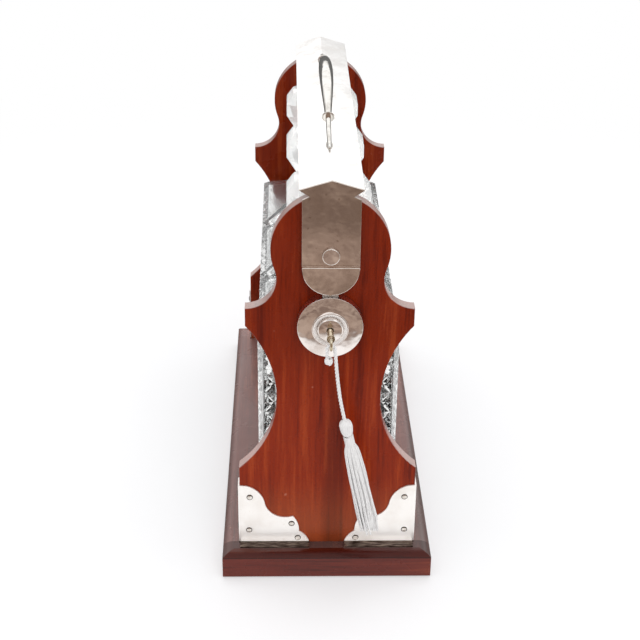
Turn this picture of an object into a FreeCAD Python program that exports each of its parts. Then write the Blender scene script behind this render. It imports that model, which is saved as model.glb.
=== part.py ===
import FreeCAD, Part
import math
import os

V = FreeCAD.Vector

# Sizes in millimetres. X runs along the row of decanters and points at the lock end.
# Y runs across the row, Z is up, and the origin is the centre of the underside.

# Clearances shared by every piece
overrun = 2.0
running_gap = 0.05
fastener_gap = 0.05
body_gap = 0.3
core_gap = 0.1

# Base board with its quarter-round edge, the baize under it and the sunken well
base_length = 381.4
base_width = 160.0
base_height = 21.3
moulding_width = 8.7
moulding_height = 3.4
base_baize_thickness = 1.0
base_baize_inset = 3.0
well_depth = 5.0
well_gap = 1.7
well_baize_thickness = 0.8
well_baize_gap = 0.3

# End panels: straight foot, hollow waist, square ears, cavetto and round lobe
panel_thickness = 10.2
panel_setback = 17.1
panel_half_width = 66.5
panel_foot_height = 68.2
panel_waist_half_width = 38.0
panel_waist_height = 128.3
ear_half_width = 60.3
ear_bottom_height = 187.7
ear_depth = 14.2
lobe_radius = 41.9
lobe_centre_height = 246.6
panel_arris = 0.7
panel_screw_spacing = 42.0
panel_screw_count = 3
panel_screw_head_radius = 4.0
panel_screw_head_height = 2.6
panel_screw_radius = 2.0
panel_screw_length = 34.0

# Bent corner brackets at the feet of the panels, measured from the panel's outer corner.
# The points of their outline and the pins are shares of the reach and of the height.
bracket_thickness = 1.2
bracket_height = 52.6
bracket_reach = 53.2
bracket_foot_depth = 8.0
bracket_crown_end_shares = (0.094, 0.992)
bracket_shoulder_mid_shares = (0.267, 0.886)
bracket_shoulder_end_shares = (0.357, 0.696)
bracket_hollow_mid_shares = (0.481, 0.502)
bracket_cusp_shares = (0.759, 0.468)
bracket_lobe_mid_shares = (0.831, 0.338)
bracket_notch_shares = (0.848, 0.207)
bracket_toe_mid_shares = (0.945, 0.120)
bracket_front_pin_shares = ((0.143, 0.802), (0.128, 0.228), (0.741, 0.340), (0.831, 0.087))
bracket_side_pin_shares = (0.802, 0.228)
pin_head_radius = 2.4
pin_head_height = 0.8
pin_shank_radius = 0.8
pin_shank_length = 6.0

# Locking bar: gabled section, wooden core in a plated cover
bar_rest_gap = 0.3
bar_lip_height = 4.7
bar_roof_height = 6.7
bar_eave_half_width = 22.3
bar_under_half_width = 15.2
bar_cover_thickness = 1.0
bar_cap_thickness = 1.0
bar_hinge_overhang = 13.0

# Hasp plate at the lock end, with its tongue, front plate, rivets and push button
hasp_standoff = 4.6
hasp_thickness = 1.9
hasp_half_width = 20.15
hasp_shoulder_drop = 2.4
hasp_front_thickness = 2.7
hasp_front_centre_drop = 52.4
hasp_front_rise = 1.0
hasp_edge = 0.4
tongue_width = 10.8
tongue_engagement = 10.5
tongue_tip_thickness = 1.1
tongue_notch_depth = 3.0
tongue_notch_height = 4.0
tongue_notch_rise = 1.2
rivet_radius = 1.2
rivet_head_radius = 2.0
rivet_head_height = 0.8
rivet_bite = 1.4
front_rivet_side = 12.0
front_rivet_side_drop = 5.0
front_rivet_low_drop = 13.0
button_radius = 6.15
button_drop = 43.3
button_proud = 2.9
button_wall = 1.2
button_flange_radius = 7.3
button_flange_thickness = 0.7
button_edge = 0.5
button_travel = 1.8
bridge_thickness = 0.8
bridge_width = 7.6
bridge_half_span = 9.0
bridge_foot_length = 5.0
bridge_rivet_radius = 0.9
spring_outer_radius = 4.2
spring_wire = 0.7
spring_end_gap = 0.1

# Drum lock on the panel: case, escutcheon, plug, bolt and screws
lock_height = 191.2
lock_radius = 23.3
lock_back_thickness = 1.0
lock_wall_thickness = 1.2
lock_case_depth = 8.5
slot_side_gap = 0.4
slot_back_gap = 0.4
escutcheon_rim = 0.9
escutcheon_rise = 1.2
escutcheon_ring_radius = 13.05
escutcheon_ring_height = 1.9
escutcheon_ring_width = 1.7
escutcheon_seat_height = 0.5
escutcheon_bulge_share = 0.6
plug_radius = 9.1
plug_back = 3.6
plug_proud = 4.8
plug_edge = 0.8
cam_pin_radius = 1.0
cam_pin_offset = 2.12
cam_pin_start_deg = 45.0
cam_pin_gap = 0.2
bolt_back_gap = 0.2
bolt_plate_thickness = 2.0
bolt_head_thickness = 4.8
bolt_head_length = 6.0
bolt_head_gap = 0.5
bolt_head_side_gap = 0.5
bolt_plate_half_width = 5.0
bolt_plate_drop = 4.0
lock_screw_circle = 16.5
lock_screw_angles_deg = (205.0, 270.0, 335.0)
lock_screw_head_radius = 2.4
lock_screw_head_height = 1.2
lock_screw_radius = 1.1
lock_screw_length = 8.0

# Key
key_shank_radius = 2.2
key_hole_gap = 0.4
key_tip_gap = 0.6
key_hole_depth = 9.0
key_bit_length = 3.6
key_bit_start = 0.8
key_bit_thickness = 1.9
key_bit_radius = 6.6
key_bit_gap = 0.3
key_ring_radius = 4.15
key_ring_wire = 1.1
key_ring_distance = 18.7
key_collar_radius = 2.9
key_collar_length = 1.6
key_collar_distance = 11.0

# Tassel: doubled cord over the key ring, its knot, the head, the binding and the skirt
knot_radius = 3.1
knot_side = 1.5
knot_drop = 9.4
cord_diameter = 2.6
cord_points = ((2.69, 0.21), (3.83, -14.25), (5.40, -29.17), (7.49, -44.02), (10.35, -57.15))
tassel_head_radius = 5.35
tassel_head_length = 13.0
tassel_crown_share = 0.30
tassel_neck_share = 0.78
tassel_cheek_share = 0.22
band_radius = 4.3
band_length = 7.8
skirt_length = 78.0
skirt_top_radius = 4.9
skirt_shoulder_radius = 7.6
skirt_radius = 8.7
skirt_tip_radius = 7.4
skirt_shoulder_share = 0.14
skirt_full_share = 0.48
skirt_late_share = 0.86
skirt_swell = 0.4
arc_share = 0.45

# Swan-neck handle on the ridge of the bar
handle_half_length = 118.0
handle_rise = 20.5
handle_curve_power = 1.25
handle_tip_radius = 1.5
handle_arm_radius = 2.0
handle_neck_radius = 2.3
handle_grip_radius = 5.6
handle_collar_radius = 4.6
handle_collar_length = 1.2
handle_collar_share = 0.63
handle_foot_share = 0.93
handle_foot_radius = 2.4
handle_screw_radius = 1.0
handle_screw_head_radius = 2.6
handle_screw_head_height = 1.6
handle_screw_bite = 1.8
handle_arm_stations = 9
handle_grip_stations = 13

# Hinge at the far end of the bar
knuckle_radius = 3.2
knuckle_count = 5
knuckle_span = 18.0
leaf_thickness = 1.5
leaf_half_width = 14.0
leaf_drop = 25.0
leaf_top_rise = 2.0
leaf_end_inset = 1.0
hinge_pin_radius = 1.5
hinge_pin_proud = 0.6
hinge_screw_radius = 1.1
hinge_screw_head_radius = 2.1
hinge_screw_head_height = 1.1
hinge_screw_length = 7.5
hinge_screw_side = 11.4
hinge_screw_drop = 15.0

# Square decanters and their octagonal stoppers
decanter_count = 3
decanter_gap = 1.0
decanter_end_gap = 6.4
decanter_corner = 3.6
decanter_foot_chamfer = 3.0
decanter_side_height = 173.9
decanter_chamfer_height = 5.0
decanter_chamfer_width = 10.0
decanter_shoulder_rise = 12.0
decanter_base_thickness = 12.0
decanter_wall = 6.5
decanter_total_height = 240.5
neck_half_width = 17.5
neck_wall = 5.5
lip_half_width = 21.5
lip_height = 7.0
lip_flare_height = 6.0
stopper_half_width = 30.7
stopper_band_height = 10.5
stopper_bevel_height = 8.0
stopper_top_half_width = 25.3
stopper_crown_height = 4.5
stopper_crown_half_width = 17.0
stopper_under_height = 16.0
stopper_under_half_width = 21.2
stopper_collar_height = 3.4
stopper_collar_half_width = 14.5
stopper_stem_length = 26.0
stopper_stem_taper = 1.6
stopper_fit_gap = 0.06

# Places worked out from the sizes above
panel_x = base_length / 2 - panel_setback
ear_top_height = ear_bottom_height + ear_depth
panel_top = base_height + lobe_centre_height + lobe_radius
bar_under_z = panel_top + bar_rest_gap
bar_eave_z = bar_under_z + bar_lip_height
bar_ridge_z = bar_eave_z + bar_roof_height
bar_end_x = panel_x + hasp_standoff
bar_start_x = -panel_x - bar_hinge_overhang
hasp_front_x = bar_end_x + hasp_thickness
hasp_shoulder_z = bar_under_z - hasp_shoulder_drop
hasp_front_centre_z = bar_under_z - hasp_front_centre_drop
button_z = bar_under_z - button_drop
lock_z = base_height + lock_height
lock_case_x = panel_x + lock_case_depth
escutcheon_x = lock_case_x + escutcheon_rim
plug_face_x = escutcheon_x + plug_proud
tongue_tip_z = lock_z + lock_radius - tongue_engagement
hinge_x = -(panel_x + leaf_thickness + body_gap + knuckle_radius)
hinge_z = bar_under_z - leaf_thickness - body_gap - knuckle_radius
well_floor_z = base_height - well_depth
decanter_floor_z = well_floor_z + well_baize_thickness
ring_centre_x = plug_face_x + key_ring_distance
ring_low_z = lock_z - key_ring_radius
decanter_row_length = 2 * (panel_x - panel_thickness - decanter_end_gap)
decanter_pitch = (decanter_row_length + decanter_gap) / decanter_count
decanter_width = decanter_pitch - decanter_gap
decanter_places = [(index - (decanter_count - 1) / 2) * decanter_pitch for index in range(decanter_count)]

nodes = {}


def path_edges(start, moves, place):
    """Edges from start through each move: (end,) is a line and (middle, end) is an arc."""
    edges = []
    here = start
    for move in moves:
        points = [place(*point) for point in (here,) + tuple(move)]
        if len(points) == 2:
            edges.append(Part.LineSegment(*points).toShape())
        else:
            edges.append(Part.Arc(*points).toShape())
        here = move[-1]
    return edges


def mirrored_moves(start, moves):
    """The same moves, walked back on the other side of the centre line."""
    ends = [start] + [move[-1] for move in moves]
    back = []
    for index in range(len(moves) - 1, -1, -1):
        middles = tuple((-u, v) for u, v in moves[index][:-1])
        u, v = ends[index]
        back.append(middles + ((-u, v),))
    return back


def slab(start, moves, place, push):
    """A closed outline pushed along one vector."""
    edges = path_edges(start, moves + [(start,)], place)
    return Part.Face(Part.Wire(edges)).extrude(push)


def symmetric_slab(start, moves, place, push):
    """A slab whose outline ends on the centre line and is mirrored across it."""
    return slab(start, moves + mirrored_moves(start, moves), place, push)


def turned(start, moves):
    """A closed outline of radius and height, turned about Z."""
    edges = path_edges(start, moves + [(start,)], lambda r, z: V(r, 0, z))
    return Part.Face(Part.Wire(edges)).revolve(V(0, 0, 0), V(0, 0, 1), 360)


def aimed(shape, point, direction):
    """A copy of a shape made along Z, set at a point and turned to a direction."""
    copy = shape.copy()
    copy.Placement = FreeCAD.Placement(point, FreeCAD.Rotation(V(0, 0, 1), direction))
    return copy


def block(x0, x1, y0, y1, z0, z1):
    """A box between two corners."""
    return Part.makeBox(x1 - x0, y1 - y0, z1 - z0, V(x0, y0, z0))


def rod(radius, start, end):
    """A round bar between two points."""
    return Part.makeCylinder(radius, (end - start).Length, start, end - start)


def fused(shapes):
    """One solid from several that meet."""
    whole = shapes[0]
    for shape in shapes[1:]:
        whole = whole.fuse(shape)
    return whole.removeSplitter()


def polar(centre, radius, degrees):
    """A point on a circle in an outline's own plane."""
    turn = math.radians(degrees)
    return (centre[0] + radius * math.cos(turn), centre[1] + radius * math.sin(turn))


def edges_in_plane(shape, axis, value):
    """The edges of a shape that lie in one plane square to an axis (0 is X, 1 is Y, 2 is Z)."""
    near = core_gap / 2
    return [edge for edge in shape.Edges
            if all(abs(vertex.Point[axis] - value) < near for vertex in edge.Vertexes)
            and abs(edge.CenterOfMass[axis] - value) < near]


def octagon(z, half_width, corner_distance):
    """An eight-sided section: four flats at half_width and four corner flats at corner_distance."""
    reach = corner_distance * math.sqrt(2) - half_width
    ring = []
    for quarter in range(4):
        for u, v in ((half_width, -reach), (half_width, reach)):
            turn = math.radians(90 * quarter)
            ring.append(V(u * math.cos(turn) - v * math.sin(turn), u * math.sin(turn) + v * math.cos(turn), z))
    return Part.makePolygon(ring + [ring[0]])


def stacked(sections):
    """A flat-faced solid through eight-sided sections given as (z, half width, corner distance)."""
    return Part.makeLoft([octagon(*section) for section in sections], True, True)


def cap_middle(width, rise):
    """Middle of the arc from (width, 0) up to (0, rise), where it lies level."""
    radius = (width ** 2 + rise ** 2) / (2 * rise)
    half_sweep = math.asin(width / radius) / 2
    return radius * math.sin(half_sweep), rise - radius * (1 - math.cos(half_sweep))


def domed_pin(head_radius, head_height, shank_radius, shank_length):
    """A pin with a domed head above the origin and its shank below."""
    dome = (cap_middle(head_radius, head_height), (0, head_height))
    shank = [((shank_radius, -shank_length),), ((shank_radius, 0),), ((head_radius, 0),)]
    return turned((0, -shank_length), shank + [dome])


def sunk_screw(head_radius, head_height, shank_radius, length):
    """A countersunk screw with its flat head at the origin and its shank above."""
    return turned((0, 0), [((head_radius, 0),), ((shank_radius, head_height),), ((shank_radius, length),),
                           ((0, length),)])


def sunk_hole(head_radius, head_height, shank_radius, length):
    """The hole that a countersunk screw needs, open at its head."""
    wide = head_radius + fastener_gap
    narrow = shank_radius + fastener_gap
    return turned((0, -overrun), [((wide, -overrun),), ((wide, 0),), ((narrow, head_height),),
                                  ((narrow, length + fastener_gap),), ((0, length + fastener_gap),)])


def moulded_outline(half):
    """Start and moves of half the base board's section, from its bottom edge to the centre line."""
    shoulder = base_height - moulding_height
    inner = half - moulding_width
    across, up = cap_middle(moulding_width, moulding_height)
    bulge = (inner + across, shoulder + up)
    moves = [((half, shoulder),), (bulge, (inner, base_height)), ((0, base_height),)]
    return (half, base_baize_thickness), moves


def panel_screw_places():
    """Where the screws go up through the base into the feet of the panels."""
    places = []
    for side in (-1, 1):
        for index in range(panel_screw_count):
            y = (index - (panel_screw_count - 1) / 2) * panel_screw_spacing
            places.append(V(side * (panel_x - panel_thickness / 2), y, base_baize_thickness))
    return places


def panel_screw_holes():
    """The holes of those screws, through the base and into the panels."""
    hole = sunk_hole(panel_screw_head_radius, panel_screw_head_height, panel_screw_radius, panel_screw_length)
    return [aimed(hole, place, V(0, 0, 1)) for place in panel_screw_places()]


def make_base():
    """Base board: two moulded sections crossed so that the corners are mitred, then the well."""
    start, moves = moulded_outline(base_length / 2)
    along = symmetric_slab(start, moves, lambda u, z: V(u, -base_width, z), V(0, 2 * base_width, 0))
    start, moves = moulded_outline(base_width / 2)
    across = symmetric_slab(start, moves, lambda u, z: V(-base_length, u, z), V(2 * base_length, 0, 0))
    board = along.common(across)
    well_x = decanter_row_length / 2 + well_gap
    well_y = decanter_width / 2 + well_gap
    board = board.cut(block(-well_x, well_x, -well_y, well_y, well_floor_z, base_height + overrun))
    for hole in panel_screw_holes():
        board = board.cut(hole)
    nodes["base_board"] = board

    lining_x = well_x - well_baize_gap
    lining_y = well_y - well_baize_gap
    nodes["well_baize"] = block(-lining_x, lining_x, -lining_y, lining_y, well_floor_z, decanter_floor_z)
    under_x = base_length / 2 - base_baize_inset
    under_y = base_width / 2 - base_baize_inset
    nodes["base_baize"] = block(-under_x, under_x, -under_y, under_y, 0, base_baize_thickness)


def panel_outline():
    """Start and moves of the panel's right half, from the foot to the top of the lobe."""
    foot = (panel_half_width, base_height)
    corner = (panel_half_width, base_height + panel_foot_height)
    waist = (panel_waist_half_width, base_height + panel_waist_height)
    ear_bottom = (ear_half_width, base_height + ear_bottom_height)
    ear_top = (ear_half_width, base_height + ear_top_height)
    lobe_centre = (0, base_height + lobe_centre_height)

    def hollow_middle(end):
        """Middle of the arc that leaves the waist upright and ends at a point."""
        across = end[0] - waist[0]
        rise = end[1] - waist[1]
        radius = (across ** 2 + rise ** 2) / (2 * across)
        sweep = math.degrees(math.atan2(rise, across - radius))
        middle = (sweep - math.copysign(180, rise)) / 2 + math.copysign(180, rise)
        return polar((waist[0] + radius, waist[1]), radius, middle)

    drop = lobe_centre[1] - ear_top[1]
    cavetto_radius = (ear_half_width ** 2 + drop ** 2 - lobe_radius ** 2) / (2 * (drop + lobe_radius))
    cavetto_centre = (ear_half_width, ear_top[1] + cavetto_radius)
    meet_deg = math.degrees(math.atan2(cavetto_centre[1] - lobe_centre[1], cavetto_centre[0]))
    meet = polar(lobe_centre, lobe_radius, meet_deg)
    cavetto_middle = polar(cavetto_centre, cavetto_radius, (270 + 180 + meet_deg) / 2)
    lobe_middle = polar(lobe_centre, lobe_radius, (meet_deg + 90) / 2)
    moves = [(corner,), (hollow_middle(corner), waist), (hollow_middle(ear_bottom), ear_bottom), (ear_top,),
             (cavetto_middle, meet), (lobe_middle, (0, lobe_centre[1] + lobe_radius))]
    return foot, moves


def on_bracket(shares):
    """A point of the bracket's front, inward from its corner and up from the base."""
    inward_share, up_share = shares
    return bracket_reach * inward_share, bracket_height * up_share


def bracket_pin_places():
    """Place and direction of each pin of the bracket at the +X, +Y corner."""
    face_x = panel_x + bracket_thickness
    side_y = panel_half_width + bracket_thickness
    places = []
    for shares in bracket_front_pin_shares:
        inward, up = on_bracket(shares)
        places.append((V(face_x, panel_half_width - inward, base_height + up), V(1, 0, 0)))
    for share in bracket_side_pin_shares:
        up = bracket_height * share
        places.append((V(panel_x - panel_thickness / 2, side_y, base_height + up), V(0, 1, 0)))
    return places


def four_corners(shape):
    """A shape of the +X, +Y corner and its mirror images at the other three."""
    origin = V(0, 0, 0)
    across = shape.mirror(origin, V(0, 1, 0))
    return [shape, across, shape.mirror(origin, V(1, 0, 0)), across.mirror(origin, V(1, 0, 0))]


def make_panels():
    """Both end panels, with holes for pins and screws."""
    start, moves = panel_outline()
    panels = []
    for inner_x in (panel_x - panel_thickness, -panel_x):
        panel = symmetric_slab(start, moves, lambda y, z: V(inner_x, y, z), V(panel_thickness, 0, 0))
        rims = edges_in_plane(panel, 0, inner_x) + edges_in_plane(panel, 0, inner_x + panel_thickness)
        upper = [edge for edge in rims if edge.CenterOfMass.z > base_height + panel_arris]
        panels.append(panel.makeFillet(panel_arris, upper))

    pin_radius = pin_shank_radius + fastener_gap
    pin_depth = pin_shank_length + bracket_thickness
    pins = fused_apart([rod(pin_radius, place - direction * pin_depth, place)
                        for place, direction in bracket_pin_places()])
    cuts = four_corners(pins) + [fused_apart(panel_screw_holes())]
    lock_end, hinge_end = [panel.cut(cuts) for panel in panels]
    for place in lock_screw_places():
        start = place - V(lock_screw_length, 0, 0)
        lock_end = lock_end.cut(rod(lock_screw_radius + fastener_gap, start, place))
    for place in hinge_panel_screw_places():
        end = place + V(hinge_screw_length + fastener_gap, 0, 0)
        hinge_end = hinge_end.cut(rod(hinge_screw_radius + fastener_gap, place, end))
    nodes["lock_end_panel"] = lock_end
    nodes["hinge_end_panel"] = hinge_end
    screw = sunk_screw(panel_screw_head_radius, panel_screw_head_height, panel_screw_radius, panel_screw_length)
    nodes["panel_screws"] = fused_apart([aimed(screw, place, V(0, 0, 1)) for place in panel_screw_places()])


def fused_apart(shapes):
    """A group of solids that don't touch, kept as one shape."""
    return Part.makeCompound(shapes)


def make_brackets():
    """Four corner brackets, each bent from one plate, and all their pins."""
    t = bracket_thickness
    edge = panel_half_width
    bend = (panel_x + t * math.cos(math.radians(45)), edge + t * math.sin(math.radians(45)))
    back = panel_x - panel_thickness
    angle = slab((panel_x, edge - bracket_reach),
                 [((panel_x + t, edge - bracket_reach),), ((panel_x + t, edge),), (bend, (panel_x, edge + t)),
                  ((back, edge + t),), ((back, edge),), ((panel_x, edge),)],
                 lambda x, y: V(x, y, base_height), V(0, 0, bracket_height))
    crown = (-t - overrun, bracket_height)
    curves = [(bracket_toe_mid_shares, bracket_notch_shares), (bracket_lobe_mid_shares, bracket_cusp_shares),
              (bracket_hollow_mid_shares, bracket_shoulder_end_shares),
              (bracket_shoulder_mid_shares, bracket_crown_end_shares)]
    outline = [((-t - overrun, 0),), ((bracket_reach, 0),)]
    outline += [(on_bracket(middle), on_bracket(end)) for middle, end in curves]
    outline.append(((0, bracket_height),))
    stencil = slab(crown, outline, lambda inward, up: V(back - overrun, edge - inward, base_height + up),
                   V(panel_thickness + t + 2 * overrun, 0, 0))
    foot_x = panel_x + bracket_foot_depth
    foot = block(panel_x, foot_x, edge - bracket_reach, edge, base_height, base_height + t)
    bracket = fused([angle.common(stencil), foot])
    pin = domed_pin(pin_head_radius, pin_head_height, pin_shank_radius, pin_shank_length)
    for place, direction in bracket_pin_places():
        bracket = bracket.cut(rod(pin_shank_radius + fastener_gap, place - direction * (t + overrun),
                                  place + direction * overrun))
    for number, corner in enumerate(four_corners(bracket), start=1):
        nodes["corner_bracket_%d" % number] = corner
    pins = [aimed(pin, place, direction) for place, direction in bracket_pin_places()]
    nodes["bracket_pins"] = fused_apart([copy for one in pins for copy in four_corners(one)])


def bar_section(inset):
    """The gabled section of the bar as a face at X = 0, drawn in by an inset."""
    half = [((bar_eave_half_width, bar_eave_z),), ((0, bar_ridge_z),)]
    start = (bar_under_half_width, bar_under_z)
    edges = path_edges(start, half + mirrored_moves(start, half) + [(start,)], lambda y, z: V(0, y, z))
    face = Part.Face(Part.Wire(edges))
    if inset:
        return face.makeOffset2D(-inset, 2)
    return face


def bar_prism(inset, x0, x1):
    """The bar's section pushed from x0 to x1."""
    face = bar_section(inset)
    face.translate(V(x0, 0, 0))
    return face.extrude(V(x1 - x0, 0, 0))


def handle_line(share):
    """Centre of the handle and its slope, from the middle (0) to the tip (1)."""
    tip_z = bar_ridge_z + handle_tip_radius
    turn = math.pi * share ** handle_curve_power
    z = tip_z + handle_rise * (1 + math.cos(turn)) / 2
    steep = math.pi * handle_curve_power * share ** (handle_curve_power - 1)
    slope = -handle_rise / 2 * math.sin(turn) * steep / handle_half_length
    return handle_half_length * share, z, slope


def handle_ring(signed_share, radius):
    """A round section of the handle, square to its centre line."""
    share = abs(signed_share)
    side = math.copysign(1, signed_share)
    x, z, slope = handle_line(share)
    circle = Part.Circle(V(side * x, 0, z), V(1, 0, side * slope), radius)
    return Part.Wire([circle.toShape()])


def handle_foot_places():
    """The two places on the ridge where the handle is screwed down."""
    return [side * handle_half_length * handle_foot_share for side in (-1, 1)]


def make_handle():
    """Handle: a grip that swells to the middle, two collars, two slender arms and two feet."""
    collar = handle_collar_share
    grip_rings = []
    for index in range(handle_grip_stations):
        across = 2 * index / (handle_grip_stations - 1) - 1
        swell = math.cos(math.pi / 2 * across)
        radius = handle_neck_radius + (handle_grip_radius - handle_neck_radius) * swell
        grip_rings.append(handle_ring(across * collar, radius))
    pieces = [Part.makeLoft(grip_rings, True, False)]
    arm_start = handle_arm_radius
    for side in (-1, 1):
        arm_rings = []
        for index in range(handle_arm_stations):
            along = index / (handle_arm_stations - 1)
            radius = arm_start + (handle_tip_radius - arm_start) * along
            arm_rings.append(handle_ring(side * (collar + (1 - collar) * along), radius))
        pieces.append(Part.makeLoft(arm_rings, True, False))
        x, z, slope = handle_line(collar)
        direction = V(1, 0, side * slope).normalize()
        middle = V(side * x, 0, z)
        half = direction * (handle_collar_length / 2)
        pieces.append(rod(handle_collar_radius, middle - half, middle + half))
    roof = bar_prism(0, bar_start_x - overrun, bar_end_x + overrun)
    for x in handle_foot_places():
        foot_z = handle_line(handle_foot_share)[1]
        pieces.append(rod(handle_foot_radius, V(x, 0, bar_eave_z), V(x, 0, foot_z)).cut(roof))
    handle = fused(pieces)
    for x in handle_foot_places():
        handle = handle.cut(handle_screw_hole(x))
    nodes["handle"] = handle


def handle_screw_length():
    """Length of a handle screw, from the bar's underside into the foot."""
    return handle_line(handle_foot_share)[1] + handle_screw_bite - handle_screw_radius - bar_under_z


def handle_screw_hole(x):
    """The hole for one handle screw."""
    length = handle_screw_length()
    hole = sunk_hole(handle_screw_head_radius, handle_screw_head_height, handle_screw_radius, length)
    return aimed(hole, V(x, 0, bar_under_z), V(0, 0, 1))


def hinge_bar_screw_places():
    """The screws that go up through the bar's leaf."""
    return [V(hinge_x, side * hinge_screw_side, bar_under_z - leaf_thickness) for side in (-1, 1)]


def hinge_panel_screw_places():
    """The screws that go through the panel's leaf."""
    leaf_face_x = -panel_x - leaf_thickness
    return [V(leaf_face_x, side * hinge_screw_side, hinge_z - hinge_screw_drop) for side in (-1, 1)]


def hinge_screw_hole():
    """The hole for one hinge screw, made along Z."""
    return sunk_hole(hinge_screw_head_radius, hinge_screw_head_height, hinge_screw_radius, hinge_screw_length)


def make_bar():
    """Locking bar: core, cover and end cap, bored for the screws of the handle and the hinge."""
    inside_x = bar_start_x + bar_cap_thickness
    cover = bar_prism(0, inside_x, bar_end_x)
    cover = cover.cut(bar_prism(bar_cover_thickness, inside_x - overrun, bar_end_x + overrun))
    core = bar_prism(bar_cover_thickness + core_gap, inside_x + core_gap, bar_end_x - core_gap)
    holes = [handle_screw_hole(x) for x in handle_foot_places()]
    holes += [aimed(hinge_screw_hole(), place, V(0, 0, 1)) for place in hinge_bar_screw_places()]
    nodes["bar_cover"] = cover.cut(holes)
    nodes["bar_core"] = core.cut(holes)
    nodes["bar_end_cap"] = bar_prism(0, bar_start_x, inside_x)
    length = handle_screw_length()
    screw = sunk_screw(handle_screw_head_radius, handle_screw_head_height, handle_screw_radius, length)
    nodes["handle_screws"] = fused_apart([aimed(screw, V(x, 0, bar_under_z), V(0, 0, 1))
                                          for x in handle_foot_places()])


def hasp_outline(low_moves, low_start):
    """Start and moves of the hasp's right half, from the tongue or the half round up to the ridge."""
    side = (hasp_half_width, hasp_front_centre_z)
    up = [((hasp_half_width, hasp_shoulder_z),), ((bar_under_half_width, bar_under_z),),
          ((bar_eave_half_width, bar_eave_z),), ((0, bar_ridge_z),)]
    return low_start, low_moves + [(polar((0, side[1]), hasp_half_width, -45), side)] + up


def make_hasp():
    """Hasp plate with its tongue, the half-round front plate, and their rivets."""
    half_tongue = tongue_width / 2
    drop = math.sqrt(hasp_half_width ** 2 - half_tongue ** 2)
    low_start = (half_tongue, tongue_tip_z)
    low_moves = [((half_tongue, hasp_front_centre_z - drop),)]
    start, moves = hasp_outline(low_moves, low_start)
    plate = symmetric_slab(start, moves, lambda y, z: V(bar_end_x, y, z), V(hasp_thickness, 0, 0))
    taper_top = lock_z + lock_radius
    tip_x = bar_end_x + tongue_tip_thickness
    wedge = slab((hasp_front_x, taper_top), [((tip_x, tongue_tip_z),), ((tip_x, tongue_tip_z - overrun),),
                                             ((hasp_front_x + overrun, tongue_tip_z - overrun),),
                                             ((hasp_front_x + overrun, taper_top),)],
                 lambda x, z: V(x, -tongue_width, z), V(0, 2 * tongue_width, 0))
    notch_z = tongue_tip_z + tongue_notch_rise
    notch = block(bar_end_x - overrun, hasp_front_x + overrun, half_tongue - tongue_notch_depth,
                  half_tongue + overrun, notch_z, notch_z + tongue_notch_height)
    button_hole = rod(button_radius + running_gap, V(bar_end_x - overrun, 0, button_z),
                      V(hasp_front_x + overrun, 0, button_z))
    plate = plate.cut([wedge, notch, button_hole])

    start = (0, hasp_front_centre_z - hasp_half_width)
    front = slab((hasp_half_width, hasp_front_centre_z + hasp_front_rise),
                 [((-hasp_half_width, hasp_front_centre_z + hasp_front_rise),),
                  ((-hasp_half_width, hasp_front_centre_z),), (start, (hasp_half_width, hasp_front_centre_z))],
                 lambda y, z: V(hasp_front_x, y, z), V(hasp_front_thickness, 0, 0))
    front = front.makeChamfer(hasp_edge, edges_in_plane(front, 0, hasp_front_x + hasp_front_thickness))

    front_rivets = [(front_rivet_side, front_rivet_side_drop), (-front_rivet_side, front_rivet_side_drop),
                    (0, front_rivet_low_drop)]
    rivets = []
    for y, fall in front_rivets:
        place = V(bar_end_x, y, hasp_front_centre_z - fall)
        length = hasp_thickness + rivet_bite
        bore_end = place + V(length + fastener_gap, 0, 0)
        bore = rod(rivet_radius + fastener_gap, place - V(overrun, 0, 0), bore_end)
        plate = plate.cut(bore)
        front = front.cut(bore)
        rivet = domed_pin(rivet_head_radius, rivet_head_height, rivet_radius, length)
        rivets.append(aimed(rivet, place, V(-1, 0, 0)))
    bridge = bridge_shape()
    for side in (-1, 1):
        rise = side * (bridge_half_span + bridge_foot_length / 2)
        place = V(bar_end_x - bridge_thickness, 0, button_z + rise)
        length = bridge_thickness + hasp_thickness / 2
        bore = rod(bridge_rivet_radius + fastener_gap, place - V(overrun, 0, 0),
                   place + V(length + fastener_gap, 0, 0))
        plate = plate.cut(bore)
        bridge = bridge.cut(bore)
        pin = domed_pin(rivet_head_radius, rivet_head_height, bridge_rivet_radius, length)
        rivets.append(aimed(pin, place, V(-1, 0, 0)))
    nodes["hasp_plate"] = plate
    nodes["hasp_front_plate"] = front
    nodes["spring_bridge"] = bridge
    nodes["hasp_rivets"] = fused_apart(rivets)


def bridge_back_x():
    """Front of the strap that the button's spring pushes against."""
    pressed_flange = bar_end_x - core_gap - button_flange_thickness - button_travel
    return pressed_flange - core_gap


def bridge_shape():
    """A strap behind the hasp plate: two feet, two legs and a seat for the spring."""
    t = bridge_thickness
    seat_x = bridge_back_x()
    leg = bridge_half_span
    foot = leg + bridge_foot_length
    foot_x = bar_end_x - t
    outline = [((seat_x - t, leg),), ((seat_x - t, -leg),), ((foot_x, -leg),), ((foot_x, -foot),),
               ((bar_end_x, -foot),), ((bar_end_x, -leg + t),), ((seat_x, -leg + t),), ((seat_x, leg - t),),
               ((bar_end_x, leg - t),), ((bar_end_x, foot),), ((foot_x, foot),)]
    return slab((foot_x, leg), outline, lambda x, z: V(x, -bridge_width / 2, button_z + z),
                V(0, bridge_width, 0))


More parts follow.
